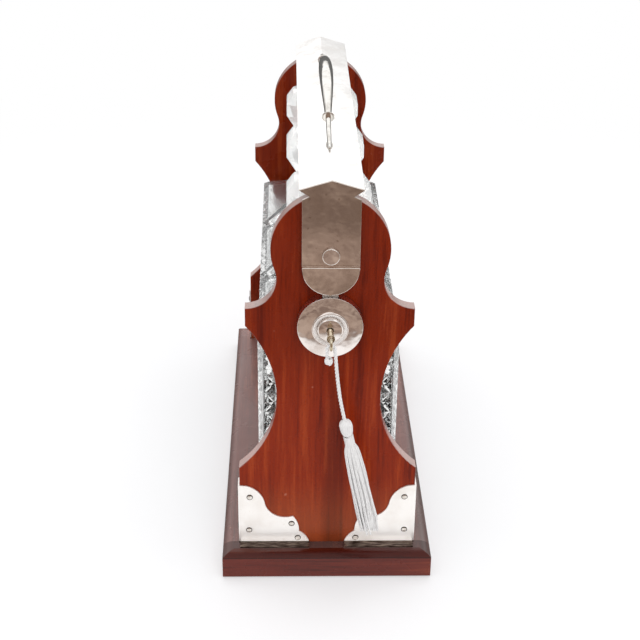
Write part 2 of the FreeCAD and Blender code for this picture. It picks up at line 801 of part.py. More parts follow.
def make_button():
    """Push button: a hollow cap with a flange behind the hasp plate, and its coil spring's space."""
    flange_back = bar_end_x - core_gap - button_flange_thickness
    flange_front = bar_end_x - core_gap
    face = hasp_front_x + button_proud
    inner = button_radius - button_wall
    profile = [((button_flange_radius, flange_back),), ((button_flange_radius, flange_front),),
               ((button_radius, flange_front),), ((button_radius, face - button_edge),),
               ((button_radius - button_edge, face),), ((0, face),), ((0, face - button_wall),),
               ((inner, face - button_wall),)]
    start = (inner, flange_back)
    button = turned(start, profile)
    nodes["push_button"] = aimed(button, V(0, 0, button_z), V(1, 0, 0))
    spring_start = bridge_back_x() + spring_end_gap
    spring_end = face - button_wall - spring_end_gap
    coil = rod(spring_outer_radius, V(spring_start, 0, button_z), V(spring_end, 0, button_z))
    hollow = rod(spring_outer_radius - spring_wire, V(spring_start - overrun, 0, button_z),
                 V(spring_end + overrun, 0, button_z))
    nodes["button_spring"] = coil.cut(hollow)


def lock_screw_places():
    """Where the screws hold the lock case to the panel."""
    places = []
    for degrees in lock_screw_angles_deg:
        y, z = polar((0, lock_z), lock_screw_circle, degrees)
        places.append(V(panel_x + lock_back_thickness, y, z))
    return places


def make_lock():
    """Drum lock: case, escutcheon, plug with its cam pin, bolt and screws."""
    centre = V(panel_x, 0, lock_z)
    out = V(1, 0, 0)
    case = rod(lock_radius, centre, V(lock_case_x, 0, lock_z))
    case = case.cut(rod(lock_radius - lock_wall_thickness, V(panel_x + lock_back_thickness, 0, lock_z),
                        V(lock_case_x + overrun, 0, lock_z)))
    half_slot = tongue_width / 2 + slot_side_gap
    case = case.cut(block(bar_end_x - slot_back_gap, lock_case_x + overrun, -half_slot, half_slot,
                          lock_z + plug_radius, lock_z + lock_radius + overrun))
    screw = domed_pin(lock_screw_head_radius, lock_screw_head_height, lock_screw_radius, lock_screw_length)
    screws = []
    for place in lock_screw_places():
        case = case.cut(rod(lock_screw_radius + fastener_gap, place - V(lock_back_thickness + overrun, 0, 0),
                            place + V(overrun, 0, 0)))
        screws.append(aimed(screw, place, out))
    nodes["lock_case"] = case
    nodes["lock_screws"] = fused_apart(screws)

    bore = plug_radius + running_gap
    ring = escutcheon_ring_radius
    top = escutcheon_rim + escutcheon_rise + escutcheon_ring_height
    low = top - escutcheon_ring_height + escutcheon_seat_height
    ring_in = ring - escutcheon_ring_width
    base_rise = escutcheon_rim + escutcheon_rise
    slope_middle = ((lock_radius + ring) / 2, escutcheon_rim + escutcheon_bulge_share * escutcheon_rise)
    crown = ((ring + ring_in) / 2, top)
    profile = [((lock_radius, 0),), ((lock_radius, escutcheon_rim),), (slope_middle, (ring, base_rise)),
               ((ring, top - escutcheon_ring_width / 2),), (crown, (ring_in, top - escutcheon_ring_width / 2)),
               ((ring_in, low),), ((bore, low),)]
    nodes["escutcheon"] = aimed(turned((bore, 0), profile), V(lock_case_x, 0, lock_z), out)
    make_plug(out)
    make_bolt()


def cam_pin_place(degrees):
    """Centre of the cam pin for one angle of the plug."""
    y, z = polar((0, lock_z), cam_pin_offset, degrees)
    return y, z


def make_plug(out):
    """Plug: a barrel with a blind keyhole, a slot for the key's bit and a cam pin behind."""
    back_x = panel_x + plug_back
    length = plug_face_x - back_x
    barrel = turned((0, 0), [((plug_radius, 0),), ((plug_radius, length - plug_edge),),
                             ((plug_radius - plug_edge, length),), ((0, length),)])
    barrel = aimed(barrel, V(back_x, 0, lock_z), out)
    hole_x = plug_face_x - key_hole_depth
    hole = rod(key_shank_radius + key_hole_gap, V(hole_x, 0, lock_z), V(plug_face_x + overrun, 0, lock_z))
    half_bit = key_bit_thickness / 2 + key_bit_gap
    keyway_low = lock_z - key_bit_radius - key_bit_gap
    keyway = block(hole_x, plug_face_x + overrun, -half_bit, half_bit, keyway_low, lock_z)
    y, z = cam_pin_place(cam_pin_start_deg)
    pin_back = panel_x + lock_back_thickness + bolt_back_gap
    pin = rod(cam_pin_radius, V(pin_back, y, z), V(back_x + plug_edge, y, z))
    nodes["lock_plug"] = fused([barrel.cut([hole, keyway]), pin])


def make_bolt():
    """Bolt: a plate behind the plug, slotted for the cam pin, with a head beside the tongue."""
    back_x = panel_x + lock_back_thickness + bolt_back_gap
    plate_x = back_x + bolt_plate_thickness
    head_y = tongue_width / 2 + bolt_head_gap
    head_z = tongue_tip_z + tongue_notch_rise + bolt_head_side_gap
    head_top = head_z + tongue_notch_height - 2 * bolt_head_side_gap
    pin_y, pin_z = cam_pin_place(cam_pin_start_deg)
    plate = block(back_x, plate_x, pin_y - bolt_plate_half_width, pin_y + bolt_plate_half_width,
                  lock_z - bolt_plate_drop, head_top)
    arm = block(back_x, plate_x, pin_y, head_y + bolt_head_length, head_z, head_top)
    head = block(back_x, back_x + bolt_head_thickness, head_y, head_y + bolt_head_length, head_z, head_top)
    slot_half = cam_pin_radius + cam_pin_gap
    slot = block(back_x - overrun, plate_x + overrun, pin_y - slot_half, pin_y + slot_half,
                 pin_z - slot_half, lock_z + cam_pin_offset + slot_half)
    nodes["lock_bolt"] = fused([plate, arm, head]).cut(slot)


def make_key():
    """Key: shank with a bit, a collar and a ring that stands a little off upright."""
    tip_x = plug_face_x - key_hole_depth + key_tip_gap
    shank = rod(key_shank_radius, V(tip_x, 0, lock_z), V(ring_centre_x - key_ring_radius, 0, lock_z))
    bit_x = tip_x + key_bit_start
    bit = block(bit_x, bit_x + key_bit_length, -key_bit_thickness / 2, key_bit_thickness / 2,
                lock_z - key_bit_radius, lock_z)
    collar_x = plug_face_x + key_collar_distance
    collar = rod(key_collar_radius, V(collar_x, 0, lock_z), V(collar_x + key_collar_length, 0, lock_z))
    centre = V(ring_centre_x, 0, lock_z)
    ring = Part.makeTorus(key_ring_radius, key_ring_wire, centre, V(0, 1, 0))
    nodes["key"] = fused([shank, bit, collar, ring])


def tassel_point(y, z):
    """A point of the tassel, given from the low side of the key ring."""
    return V(ring_centre_x, y, ring_low_z + z)


def make_tassel():
    """Tassel: the cord over the ring with its knot, the hanging cord, head, binding and skirt."""
    radius = cord_diameter / 2
    points = [tassel_point(*point) for point in cord_points]
    start = points[0] - tassel_point(0, 0)
    bend = start.Length
    end_turn = math.degrees(math.atan2(start.z, start.y))
    over = [tassel_point(*polar((0, 0), bend, degrees)) for degrees in (end_turn, 90, 180)]
    knot = tassel_point(-knot_side, -knot_drop)
    tail = Part.LineSegment(over[2], tassel_point(-bend, -knot_drop))
    path = Part.Wire([Part.Arc(*over).toShape(), tail.toShape()])
    section = Part.Wire([Part.Circle(points[0], points[1] - points[0], radius).toShape()])
    loop = path.makePipeShell([section], True, False)
    nodes["cord_knot"] = fused([Part.makeSphere(knot_radius, knot), loop])
    nodes["tassel_cord"] = cord_tube(points, radius)

    down = (points[-1] - points[-2]).normalize()
    length = tassel_head_length
    wide = tassel_head_radius
    crown_z = length * tassel_crown_share
    neck_z = length * tassel_neck_share
    crown = cap_middle(wide - radius, crown_z)
    cheek = (wide - (wide - band_radius) * tassel_cheek_share, (crown_z + neck_z) / 2)
    head = turned((0, 0), [((radius, 0),), ((radius + crown[0], crown_z - crown[1]), (wide, crown_z)),
                           (cheek, (band_radius, neck_z)), ((band_radius, length),), ((0, length),)])
    nodes["tassel_head"] = aimed(head, points[-1], down)
    band_top = points[-1] + down * length
    skirt_top = band_top + down * band_length
    nodes["tassel_band"] = rod(band_radius, band_top, skirt_top)
    shoulder_z = skirt_length * skirt_shoulder_share
    swell = ((skirt_top_radius + skirt_shoulder_radius) / 2 + skirt_swell, shoulder_z / 2)
    skirt = turned((0, 0), [((skirt_top_radius, 0),), (swell, (skirt_shoulder_radius, shoulder_z)),
                            ((skirt_radius, skirt_length * skirt_full_share),),
                            ((skirt_radius, skirt_length * skirt_late_share),),
                            ((skirt_tip_radius, skirt_length),), ((0, skirt_length),)])
    nodes["tassel_skirt"] = aimed(skirt, skirt_top, down)


def cord_tube(points, radius):
    """The hanging cord as a tube of straight runs joined by tangent arcs."""
    edges = []
    here = points[0]
    for before, corner, after in zip(points, points[1:], points[2:]):
        inward = (before - corner).normalize()
        outward = (after - corner).normalize()
        half_turn = (math.pi - inward.getAngle(outward)) / 2
        reach = arc_share * min((corner - before).Length, (after - corner).Length)
        arc_radius = reach / math.tan(half_turn)
        print("cord arc radius", round(arc_radius, 1))
        leave = corner + inward * reach
        enter = corner + outward * reach
        middle = corner + (inward + outward).normalize() * (arc_radius / math.cos(half_turn) - arc_radius)
        edges.append(Part.LineSegment(here, leave).toShape())
        edges.append(Part.Arc(leave, middle, enter).toShape())
        here = enter
    edges.append(Part.LineSegment(here, points[-1]).toShape())
    path = Part.Wire(edges)
    section = Part.Wire([Part.Circle(points[0], points[1] - points[0], radius).toShape()])
    tube = path.makePipeShell([section], True, False)
    print("cord length", round(path.Length, 2), "volume over section times length",
          round(tube.Volume / (path.Length * math.pi * radius ** 2), 4))
    return tube


def knuckles(first):
    """Every second knuckle of the hinge, starting with the first or the next."""
    pitch = (knuckle_span + body_gap) / knuckle_count
    spans = []
    for index in range(first, knuckle_count, 2):
        y0 = -knuckle_span / 2 + index * pitch
        spans.append((y0, y0 + pitch - body_gap))
    return spans


def make_hinge():
    """Butt hinge: one leaf on the panel, one leaf under the bar, the pin and the screws."""
    bore = rod(hinge_pin_radius + running_gap, V(hinge_x, -knuckle_span, hinge_z),
               V(hinge_x, knuckle_span, hinge_z))
    plate_x = -panel_x - leaf_thickness
    panel_leaf = [block(plate_x, -panel_x, -leaf_half_width, leaf_half_width, hinge_z - leaf_drop,
                        hinge_z + leaf_top_rise)]
    for y0, y1 in knuckles(0):
        panel_leaf.append(rod(knuckle_radius, V(hinge_x, y0, hinge_z), V(hinge_x, y1, hinge_z)))
        panel_leaf.append(block(hinge_x, plate_x, y0, y1, hinge_z - leaf_thickness, hinge_z + leaf_thickness))
    leaf = fused(panel_leaf).cut(bore)
    hole = hinge_screw_hole()
    screw = sunk_screw(hinge_screw_head_radius, hinge_screw_head_height, hinge_screw_radius, hinge_screw_length)
    leaf = leaf.cut([aimed(hole, place, V(1, 0, 0)) for place in hinge_panel_screw_places()])
    nodes["hinge_panel_leaf"] = leaf
    nodes["hinge_panel_screws"] = fused_apart([aimed(screw, place, V(1, 0, 0))
                                               for place in hinge_panel_screw_places()])

    plate_z = bar_under_z - leaf_thickness
    bar_leaf = [block(bar_start_x + leaf_end_inset, plate_x, -leaf_half_width, leaf_half_width, plate_z,
                      bar_under_z)]
    for y0, y1 in knuckles(1):
        bar_leaf.append(rod(knuckle_radius, V(hinge_x, y0, hinge_z), V(hinge_x, y1, hinge_z)))
        bar_leaf.append(block(hinge_x - leaf_thickness, hinge_x + leaf_thickness, y0, y1, hinge_z, plate_z))
    leaf = fused(bar_leaf).cut(bore)
    leaf = leaf.cut([aimed(hole, place, V(0, 0, 1)) for place in hinge_bar_screw_places()])
    nodes["hinge_bar_leaf"] = leaf
    nodes["hinge_bar_screws"] = fused_apart([aimed(screw, place, V(0, 0, 1))
                                             for place in hinge_bar_screw_places()])
    end = knuckle_span / 2 + hinge_pin_proud
    nodes["hinge_pin"] = rod(hinge_pin_radius, V(hinge_x, -end, hinge_z), V(hinge_x, end, hinge_z))


def corner_distance(half_width, corner):
    """How far a corner flat lies from the centre when the corner is cut off by a given length."""
    return half_width * math.sqrt(2) - corner / math.sqrt(2)


def regular(half_width):
    """A regular eight-sided section has all its flats at the same distance."""
    return (half_width, half_width)


def make_glass():
    """Decanters and stoppers, one of each at every place in the row."""
    floor = decanter_floor_z
    side_top = floor + decanter_side_height
    chamfer_top = side_top + decanter_chamfer_height
    shoulder_top = chamfer_top + decanter_shoulder_rise
    lip_top = floor + decanter_total_height
    half = decanter_width / 2
    top_half = half - decanter_chamfer_width
    cut = decanter_corner
    outside = [(floor, half - decanter_foot_chamfer, corner_distance(half - decanter_foot_chamfer, cut)),
               (floor + decanter_foot_chamfer, half, corner_distance(half, cut)),
               (side_top, half, corner_distance(half, cut)),
               (chamfer_top, top_half, corner_distance(top_half, cut)),
               (shoulder_top,) + regular(neck_half_width),
               (lip_top - lip_height - lip_flare_height,) + regular(neck_half_width),
               (lip_top - lip_height,) + regular(lip_half_width),
               (lip_top,) + regular(lip_half_width)]
    inner_half = half - decanter_wall
    inner_top = top_half - decanter_wall
    bore_radius = neck_half_width - neck_wall
    inside = [(floor + decanter_base_thickness, inner_half, corner_distance(inner_half, cut)),
              (side_top - decanter_wall / 2, inner_half, corner_distance(inner_half, cut)),
              (chamfer_top - decanter_wall / 2, inner_top, corner_distance(inner_top, cut)),
              (shoulder_top - decanter_wall / 2,) + regular(bore_radius)]
    body = stacked(outside).cut(stacked(inside))
    throat_z = shoulder_top - decanter_wall
    stem_low = lip_top - stopper_stem_length
    stem_low_radius = bore_radius - stopper_stem_taper
    bore = turned((0, throat_z), [((stem_low_radius, throat_z),), ((stem_low_radius, stem_low),),
                                  ((bore_radius, lip_top),), ((bore_radius, lip_top + overrun),),
                                  ((0, lip_top + overrun),)])
    body = body.cut(bore)

    gap = stopper_fit_gap
    stem = turned((0, stem_low), [((stem_low_radius - gap, stem_low),), ((bore_radius - gap, lip_top),),
                                  ((bore_radius - gap, lip_top + overrun),), ((0, lip_top + overrun),)])
    under_z = lip_top + stopper_collar_height
    band_z = under_z + stopper_under_height
    bevel_z = band_z + stopper_band_height
    crown_z = bevel_z + stopper_bevel_height
    head = stacked([(lip_top + body_gap,) + regular(stopper_collar_half_width),
                    (under_z,) + regular(stopper_under_half_width),
                    (band_z,) + regular(stopper_half_width),
                    (bevel_z,) + regular(stopper_half_width),
                    (crown_z,) + regular(stopper_top_half_width),
                    (crown_z + stopper_crown_height,) + regular(stopper_crown_half_width)])
    stopper = fused([stem, head])
    for number, x in enumerate(decanter_places, start=1):
        decanter_copy = body.copy()
        decanter_copy.translate(V(x, 0, 0))
        stopper_copy = stopper.copy()
        stopper_copy.translate(V(x, 0, 0))
        nodes["decanter_%d" % number] = decanter_copy
        nodes["stopper_%d" % number] = stopper_copy


make_base()
make_panels()
make_brackets()
make_bar()
make_handle()
make_hasp()
make_button()
make_lock()
make_key()
make_tassel()
make_hinge()
make_glass()

os.makedirs("parts", exist_ok=True)
for name, shape in nodes.items():
    shape.exportStep("parts/" + name + ".step")
    if not shape.isValid() or shape.Volume <= 0:
        print("check the shape of", name)
print(len(nodes), "nodes")
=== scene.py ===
import bmesh
import bpy
import math
from mathutils import Matrix, Vector


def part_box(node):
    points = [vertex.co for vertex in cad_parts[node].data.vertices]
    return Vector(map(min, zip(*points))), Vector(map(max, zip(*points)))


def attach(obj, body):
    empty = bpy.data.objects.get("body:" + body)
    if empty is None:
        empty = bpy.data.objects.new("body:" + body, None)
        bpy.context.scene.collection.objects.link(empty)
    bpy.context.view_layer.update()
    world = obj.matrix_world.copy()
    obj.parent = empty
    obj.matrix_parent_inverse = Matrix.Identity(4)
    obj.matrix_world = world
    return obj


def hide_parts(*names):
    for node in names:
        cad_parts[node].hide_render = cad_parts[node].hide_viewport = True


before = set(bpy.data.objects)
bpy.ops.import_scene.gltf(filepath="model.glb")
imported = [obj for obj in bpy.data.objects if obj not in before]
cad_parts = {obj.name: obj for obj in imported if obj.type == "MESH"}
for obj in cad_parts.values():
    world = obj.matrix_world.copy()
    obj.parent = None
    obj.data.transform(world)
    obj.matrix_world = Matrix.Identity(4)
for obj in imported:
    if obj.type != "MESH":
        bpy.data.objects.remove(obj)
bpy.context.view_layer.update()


# The view, the paper and the light
# The stand is seen from its lock end by a long lens that looks down the row of decanters.
# It stands on white paper, lit softly from above, and the room in front of the paper's edge is dim.
eye_place = (1.0098, -0.0294, 0.6413)
eye_yaw = 0.0268
eye_pitch = 0.4722
eye_roll = 0.0115
sensor_width = 36.0
lens_length = 74.475
white = (1.0, 1.0, 1.0, 1.0)
paper_half_side = 6.0
paper_front_edge = (0.42, 0.52)
paper_fade = (0.35, 1.1)
paper_glow = 0.38
paper_back_edge = (-0.9, -1.3)
room_patch_scale = 5.0
room_patches = (0.38, 0.62)
room_side = (0.45, 0.70)
room_rise = (0.47, 0.56)
back_side = (-0.50, -0.78)
back_level = (0.15, 0.23)
back_share = 0.88
zenith_rise = (0.80, 0.97)
zenith_share = 0.6
flank_side = (0.47, 0.64)
flank_rise = (0.50, 0.80)
flank_share = 0.62


def tint(red, green, blue):
    """A colour as it looks on a screen, from 0 to 255, in the shaders' linear values."""
    return tuple((part / 255) ** 2.2 for part in (red, green, blue)) + (1.0,)


class Wire:
    """A value in a node tree. A sum, product or comparison with it is one more node of that tree."""

    def __init__(self, socket):
        self.socket = socket

    def __add__(self, other):
        return worked("ADD", self, other)

    def __sub__(self, other):
        return worked("SUBTRACT", self, other)

    def __rsub__(self, other):
        return worked("SUBTRACT", other, self)

    def __mul__(self, other):
        return worked("MULTIPLY", self, other)

    def __truediv__(self, other):
        return worked("DIVIDE", self, other)

    def __lt__(self, other):
        return worked("LESS_THAN", self, other)

    def __gt__(self, other):
        return worked("GREATER_THAN", self, other)

    def __abs__(self):
        return worked("ABSOLUTE", self)


def feed(socket, wire):
    """Leads a wire to an input."""
    socket.id_data.links.new(wire.socket, socket)


def add_node(tree, kind, feeds=None, **settings):
    """A node with its settings and feeds: values, wires or lists of wires. Gives its outputs as wires."""
    made = tree.nodes.new(kind)
    for label, value in settings.items():
        setattr(made, label, value)
    for key, value in (feeds or {}).items():
        if isinstance(value, (Wire, list)):
            for wire in value if isinstance(value, list) else [value]:
                feed(made.inputs[key], wire)
        else:
            made.inputs[key].default_value = value
    wires = {}
    for index, socket in enumerate(made.outputs):
        wires[index] = Wire(socket)
        wires.setdefault(socket.name, wires[index])
    return wires


def wired(kind, feeds, **settings):
    """A node in the tree that the first wire among its feeds belongs to."""
    first = next(value for value in feeds.values() if isinstance(value, Wire))
    return add_node(first.socket.id_data, kind, feeds, **settings)


def worked(operation, *feeds):
    """The result of one sum."""
    return wired("ShaderNodeMath", dict(enumerate(feeds)), operation=operation)[0]


def vector_worked(operation, *feeds):
    """The result of one sum of vectors."""
    return wired("ShaderNodeVectorMath", dict(enumerate(feeds)), operation=operation)[0]


def split(vector):
    """The three parts of a place or a direction."""
    parts = wired("ShaderNodeSeparateXYZ", {0: vector})
    return parts[0], parts[1], parts[2]


def eased(value, span, ends=(0.0, 1.0), kind="SMOOTHSTEP"):
    """A value that goes from one end to the other while another crosses a span."""
    feeds = {"Value": value, "From Min": span[0], "From Max": span[1], "To Min": ends[0], "To Max": ends[1]}
    return wired("ShaderNodeMapRange", feeds, interpolation_type=kind)[0]


def blended(share, first, second):
    """A colour between two others."""
    return wired("ShaderNodeMix", {0: share, 6: first, 7: second}, data_type="RGBA")[2]


def noise(vector, scale, detail=3.0, roughness=0.55):
    """Soft noise from 0 to 1."""
    feeds = {"Vector": vector, "Scale": scale, "Detail": detail, "Roughness": roughness}
    return wired("ShaderNodeTexNoise", feeds)[0]


def placed(name, data):
    """An object for a mesh, lamp, camera or curve."""
    piece = bpy.data.objects.new(name, data)
    bpy.context.scene.collection.objects.link(piece)
    return piece


def set_camera():
    """The camera, a little left of the row and well above the stand."""
    view = bpy.data.cameras.new("photo_view")
    view.sensor_width = sensor_width
    view.lens = lens_length
    camera = placed("photo_camera", view)
    turn = Matrix.Rotation(math.pi / 2 - eye_yaw, 4, "Z") @ Matrix.Rotation(math.pi / 2 - eye_pitch, 4, "X")
    camera.matrix_world = Matrix.Translation(eye_place) @ turn @ Matrix.Rotation(eye_roll, 4, "Z")
    bpy.context.scene.camera = camera


def lay_paper():
    """White paper that keeps the shadow near the stand and meets the white behind it further off."""
    mesh = bpy.data.meshes.new("paper")
    side = paper_half_side
    corners = [(-side, -side, 0), (side, -side, 0), (side, side, 0), (-side, side, 0)]
    mesh.from_pydata(corners, [], [(0, 1, 2, 3)])
    finish = bpy.data.materials.new("white_paper")
    finish.use_nodes = True
    tree = finish.node_tree
    tree.nodes.clear()
    rays = add_node(tree, "ShaderNodeLightPath")
    ground = add_node(tree, "ShaderNodeTexCoord")["Object"]
    along = split(ground)[0]
    away = wired("ShaderNodeVectorMath", {0: ground}, operation="LENGTH")["Value"]
    patches = eased(noise(ground, room_patch_scale, 2.0, 0.5), room_patches)
    room = blended(patches, tint(130, 110, 100), tint(184, 163, 149))
    mirrored = blended(eased(along, paper_front_edge), (1.04, 1.03, 1.02, 1.0), room)
    mirrored = blended(eased(along, paper_back_edge, (0.0, back_share)), mirrored, back_colour)
    shown = blended(rays["Is Glossy Ray"], white, mirrored)
    far = rays["Is Camera Ray"] * eased(away, paper_fade, (paper_glow, 1.0))
    plain = worked("MAXIMUM", far, rays["Is Glossy Ray"])
    lit = add_node(tree, "ShaderNodeBsdfDiffuse", {"Color": (0.86, 0.86, 0.87, 1.0)})[0]
    glow = wired("ShaderNodeEmission", {"Color": shown, "Strength": 1.0})[0]
    mixed = wired("ShaderNodeMixShader", {0: plain, 1: lit, 2: glow})[0]
    wired("ShaderNodeOutputMaterial", {"Surface": mixed})
    mesh.materials.append(finish)
    placed("paper", mesh)


def light_room():
    """White all round for the paper and the glass, and the dim room that polished faces show."""
    world = bpy.data.worlds.new("studio")
    bpy.context.scene.world = world
    world.use_nodes = True
    tree = world.node_tree
    tree.nodes.clear()
    rays = add_node(tree, "ShaderNodeLightPath")
    x, y, z = split(add_node(tree, "ShaderNodeTexCoord")["Generated"])
    front = eased(x, room_side) * eased(z, room_rise, (1.0, 0.0))
    mirrored = blended(front, (1.25, 1.25, 1.25, 1.0), tint(160, 139, 127))
    back = eased(x, back_side, (0.0, back_share)) * eased(abs(z), back_level, (1.0, 0.0))
    zenith = eased(z, zenith_rise, (0.0, zenith_share))
    flank = eased(abs(y), flank_side, (0.0, flank_share)) * eased(z, flank_rise, (1.0, 0.0))
    for share, colour in ((back, back_colour), (zenith, tint(120, 116, 112)), (flank, tint(128, 124, 121))):
        mirrored = blended(share * rays["Is Glossy Ray"], mirrored, colour)
    soft = blended(rays["Is Diffuse Ray"], mirrored, (0.82, 0.82, 0.83, 1.0))
    shown = blended(rays["Is Camera Ray"], soft, white)
    glow = wired("ShaderNodeBackground", {"Color": shown, "Strength": 1.0})[0]
    wired("ShaderNodeOutputWorld", {"Surface": glow})


def hang_lamp(name, place, target, size, power):
    """A square soft box that faces a point and isn't mirrored."""
    lamp = bpy.data.lights.new(name, "AREA")
    lamp.size = size
    lamp.energy = power
    holder = placed(name, lamp)
    aim = (Vector(target) - Vector(place)).to_track_quat("-Z", "Y")
    holder.matrix_world = Matrix.Translation(place) @ aim.to_matrix().to_4x4()
    holder.visible_glossy = False


back_colour = tint(40, 38, 37)
bpy.context.scene.view_settings.view_transform = "Standard"
set_camera()
lay_paper()
light_room()
hang_lamp("top_box", (-0.25, -0.02, 1.9), (0, 0, 0.1), 1.6, 16.5)
hang_lamp("front_box", (1.5, 0.3, 1.1), (0.1, 0, 0.15), 0.9, 6.5)


# Base board
# A slab of solid mahogany, stained darker than the ends, with a quarter round run along its edge and
# mitred at the corners, and a sunken well for the decanters. It is polished all over but underneath.
base_edge_round = 0.0011
moulding_low = 0.0179
moulding_width = 0.0087
shadow_line_half = 0.0005
weld_gap = 0.000002
flat_angle = math.radians(0.8)
crisp_angle = math.radians(28)
bevel_steps = 2
upright_grain = (0, 0, 0)
grain_along_x = (0, math.pi / 2, 0)
grain_along_y = (math.pi / 2, 0, 0)
usual_bands = 60.0
base_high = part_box("base_board")[1]
panel_low, panel_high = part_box("lock_end_panel")
setback = base_high.x - panel_high.x + 0.001


def stretched(vector, scale, rotation=(0, 0, 0)):
    """Coordinates that are turned and then stretched."""
    feeds = {"Vector": vector, "Rotation": rotation, "Scale": scale}
    return wired("ShaderNodeMapping", feeds)[0]


def vector_of(x, y, z):
    """A vector from its three parts."""
    return wired("ShaderNodeCombineXYZ", {0: x, 1: y, 2: z})[0]


def bumped(height, strength, distance, normal=None):
    """A surface normal from a height, laid over another normal if there is one."""
    feeds = {"Height": height, "Strength": strength, "Distance": distance}
    if normal:
        feeds["Normal"] = normal
    return wired("ShaderNodeBump", feeds)[0]


def surface_normal(place):
    """The direction that the surface faces there."""
    return add_node(place.socket.id_data, "ShaderNodeNewGeometry")["Normal"]


def new_group(kind, name, inputs, outputs):
    """An empty group. Gives its tree, its inputs as wires and its output sockets."""
    tree = bpy.data.node_groups.new(name, kind)
    for way, sockets in (("INPUT", inputs), ("OUTPUT", outputs)):
        for socket_kind, labels in sockets:
            for label in labels:
                tree.interface.new_socket(name=label, in_out=way, socket_type="NodeSocket" + socket_kind)
    given = {socket.name: Wire(socket) for socket in tree.nodes.new("NodeGroupInput").outputs}
    return tree, given, tree.nodes.new("NodeGroupOutput").inputs


def opened(finish):
    """The inputs of a finish's shader, and the place on the piece."""
    nodes = finish.node_tree.nodes
    return nodes["Principled BSDF"].inputs, Wire(nodes["Texture Coordinate"].outputs["Object"])


def new_finish(name, values):
    """A material with the values that are the same all over, opened."""
    finish = bpy.data.materials.new(name)
    finish.use_nodes = True
    finish.node_tree.nodes.new("ShaderNodeTexCoord")
    shader, place = opened(finish)
    for label, value in values.items():
        shader[label].default_value = value
    return finish, shader, place


def fed(socket):
    """What feeds an input now."""
    return Wire(socket.links[0].from_socket)


def lay_over(socket, share, colour):
    """Lays a colour over what feeds an input, by a share that varies from place to place."""
    feed(socket, blended(share, fed(socket), colour))


def group_wood_figure():
    """Wood with its grain along Z: broad bands, fine fibres and short dark pores."""
    tree, given, result = new_group(
        "ShaderNodeTree", "wood_figure",
        [("Vector", ["Vector"]), ("Color", ["Dark", "Middle", "Light"]), ("Float", ["Band Scale"])],
        [("Color", ["Color"]), ("Float", ["Pores"])])
    sway = noise(stretched(given["Vector"], (1, 1, 0.35)), 7.0, 2.0)
    bent = vector_worked("ADD", given["Vector"], vector_of(sway * 0.018, sway * 0.012, 0.0))
    long_way = stretched(bent, (1, 1, 0.045))
    fibre = noise(long_way, 620.0, 5.0, 0.65)
    band = noise(long_way, given["Band Scale"], 4.0, 0.6)
    broad = noise(stretched(bent, (1, 1, 0.3)), 16.0, 2.0)
    tone = band * 0.48 + fibre * 0.27 + broad * 0.25
    low = blended(eased(tone, (0.38, 0.50)), given["Dark"], given["Middle"])
    full = blended(eased(tone, (0.50, 0.62)), low, given["Light"])
    pores = eased(noise(stretched(bent, (1, 1, 0.08)), 2100.0, 1.0), (0.60, 0.72))
    feed(result["Color"], blended(pores * 0.45, full, given["Dark"]))
    feed(result["Pores"], pores)
    return tree


def group_small_marks():
    """Scattered knocks and specks, with only some of the cells marked."""
    tree, given, result = new_group(
        "ShaderNodeTree", "small_marks",
        [("Vector", ["Vector"]), ("Float", ["Scale", "Size", "Share"])], [("Float", ["Mask"])])
    wobbled = vector_worked("ADD", given["Vector"], noise(given["Vector"], 700.0, 2.0) * 0.003)
    cells = wired("ShaderNodeTexVoronoi", {"Vector": wobbled, "Scale": given["Scale"]})
    chance = wired("ShaderNodeSeparateColor", {0: cells["Color"]})
    near = cells["Distance"] < given["Size"] * chance[1]
    feed(result["Mask"], near * (chance[0] < given["Share"]))
    return tree


wood_figure = group_wood_figure()
small_marks = group_small_marks()


def figured(place, tones, turn, band_scale=usual_bands):
    """The figure of wood in three tones, with the grain turned along the piece."""
    dark, middle, light = tones
    feeds = {"Vector": stretched(place, (1, 1, 1), turn), "Dark": dark, "Middle": middle, "Light": light,
             "Band Scale": band_scale}
    return wired("ShaderNodeGroup", feeds, node_tree=wood_figure)


def marked(place, scale, size, share):
    """Where the small marks are."""
    feeds = {"Vector": place, "Scale": scale, "Size": size, "Share": share}
    return wired("ShaderNodeGroup", feeds, node_tree=small_marks)["Mask"]


def polished_mahogany(name, tones, turn, painted_sheen, shine, band_scale=usual_bands):
    """French-polished mahogany, opened. Painted sheen is a pale colour painted on its upward faces as a
    highlight.
    """
    finish, shader, place = new_finish(name, {"IOR": 1.5, "Specular IOR Level": shine})
    figure = figured(place, tones, turn, band_scale)
    scuffed = blended(marked(place, 46.0, 0.075, 0.30) * 0.35, figure["Color"], tint(200, 140, 120))
    # Painted sheen: faces that look up are blended towards pale grey, a painted highlight.
    sheen_share = eased(split(surface_normal(place))[2], (0.05, 0.9)) * painted_sheen
    feed(shader["Base Color"], blended(sheen_share, scuffed, tint(222, 208, 202)))
    feed(shader["Roughness"], eased(noise(place, 28.0, 4.0, 0.6), (0.3, 0.8), (0.22, 0.38)))
    feed(shader["Normal"], bumped(figure["Pores"] + noise(place, 35.0, 2.0) * 0.6, 0.12, 0.0002))
    return finish, shader, place


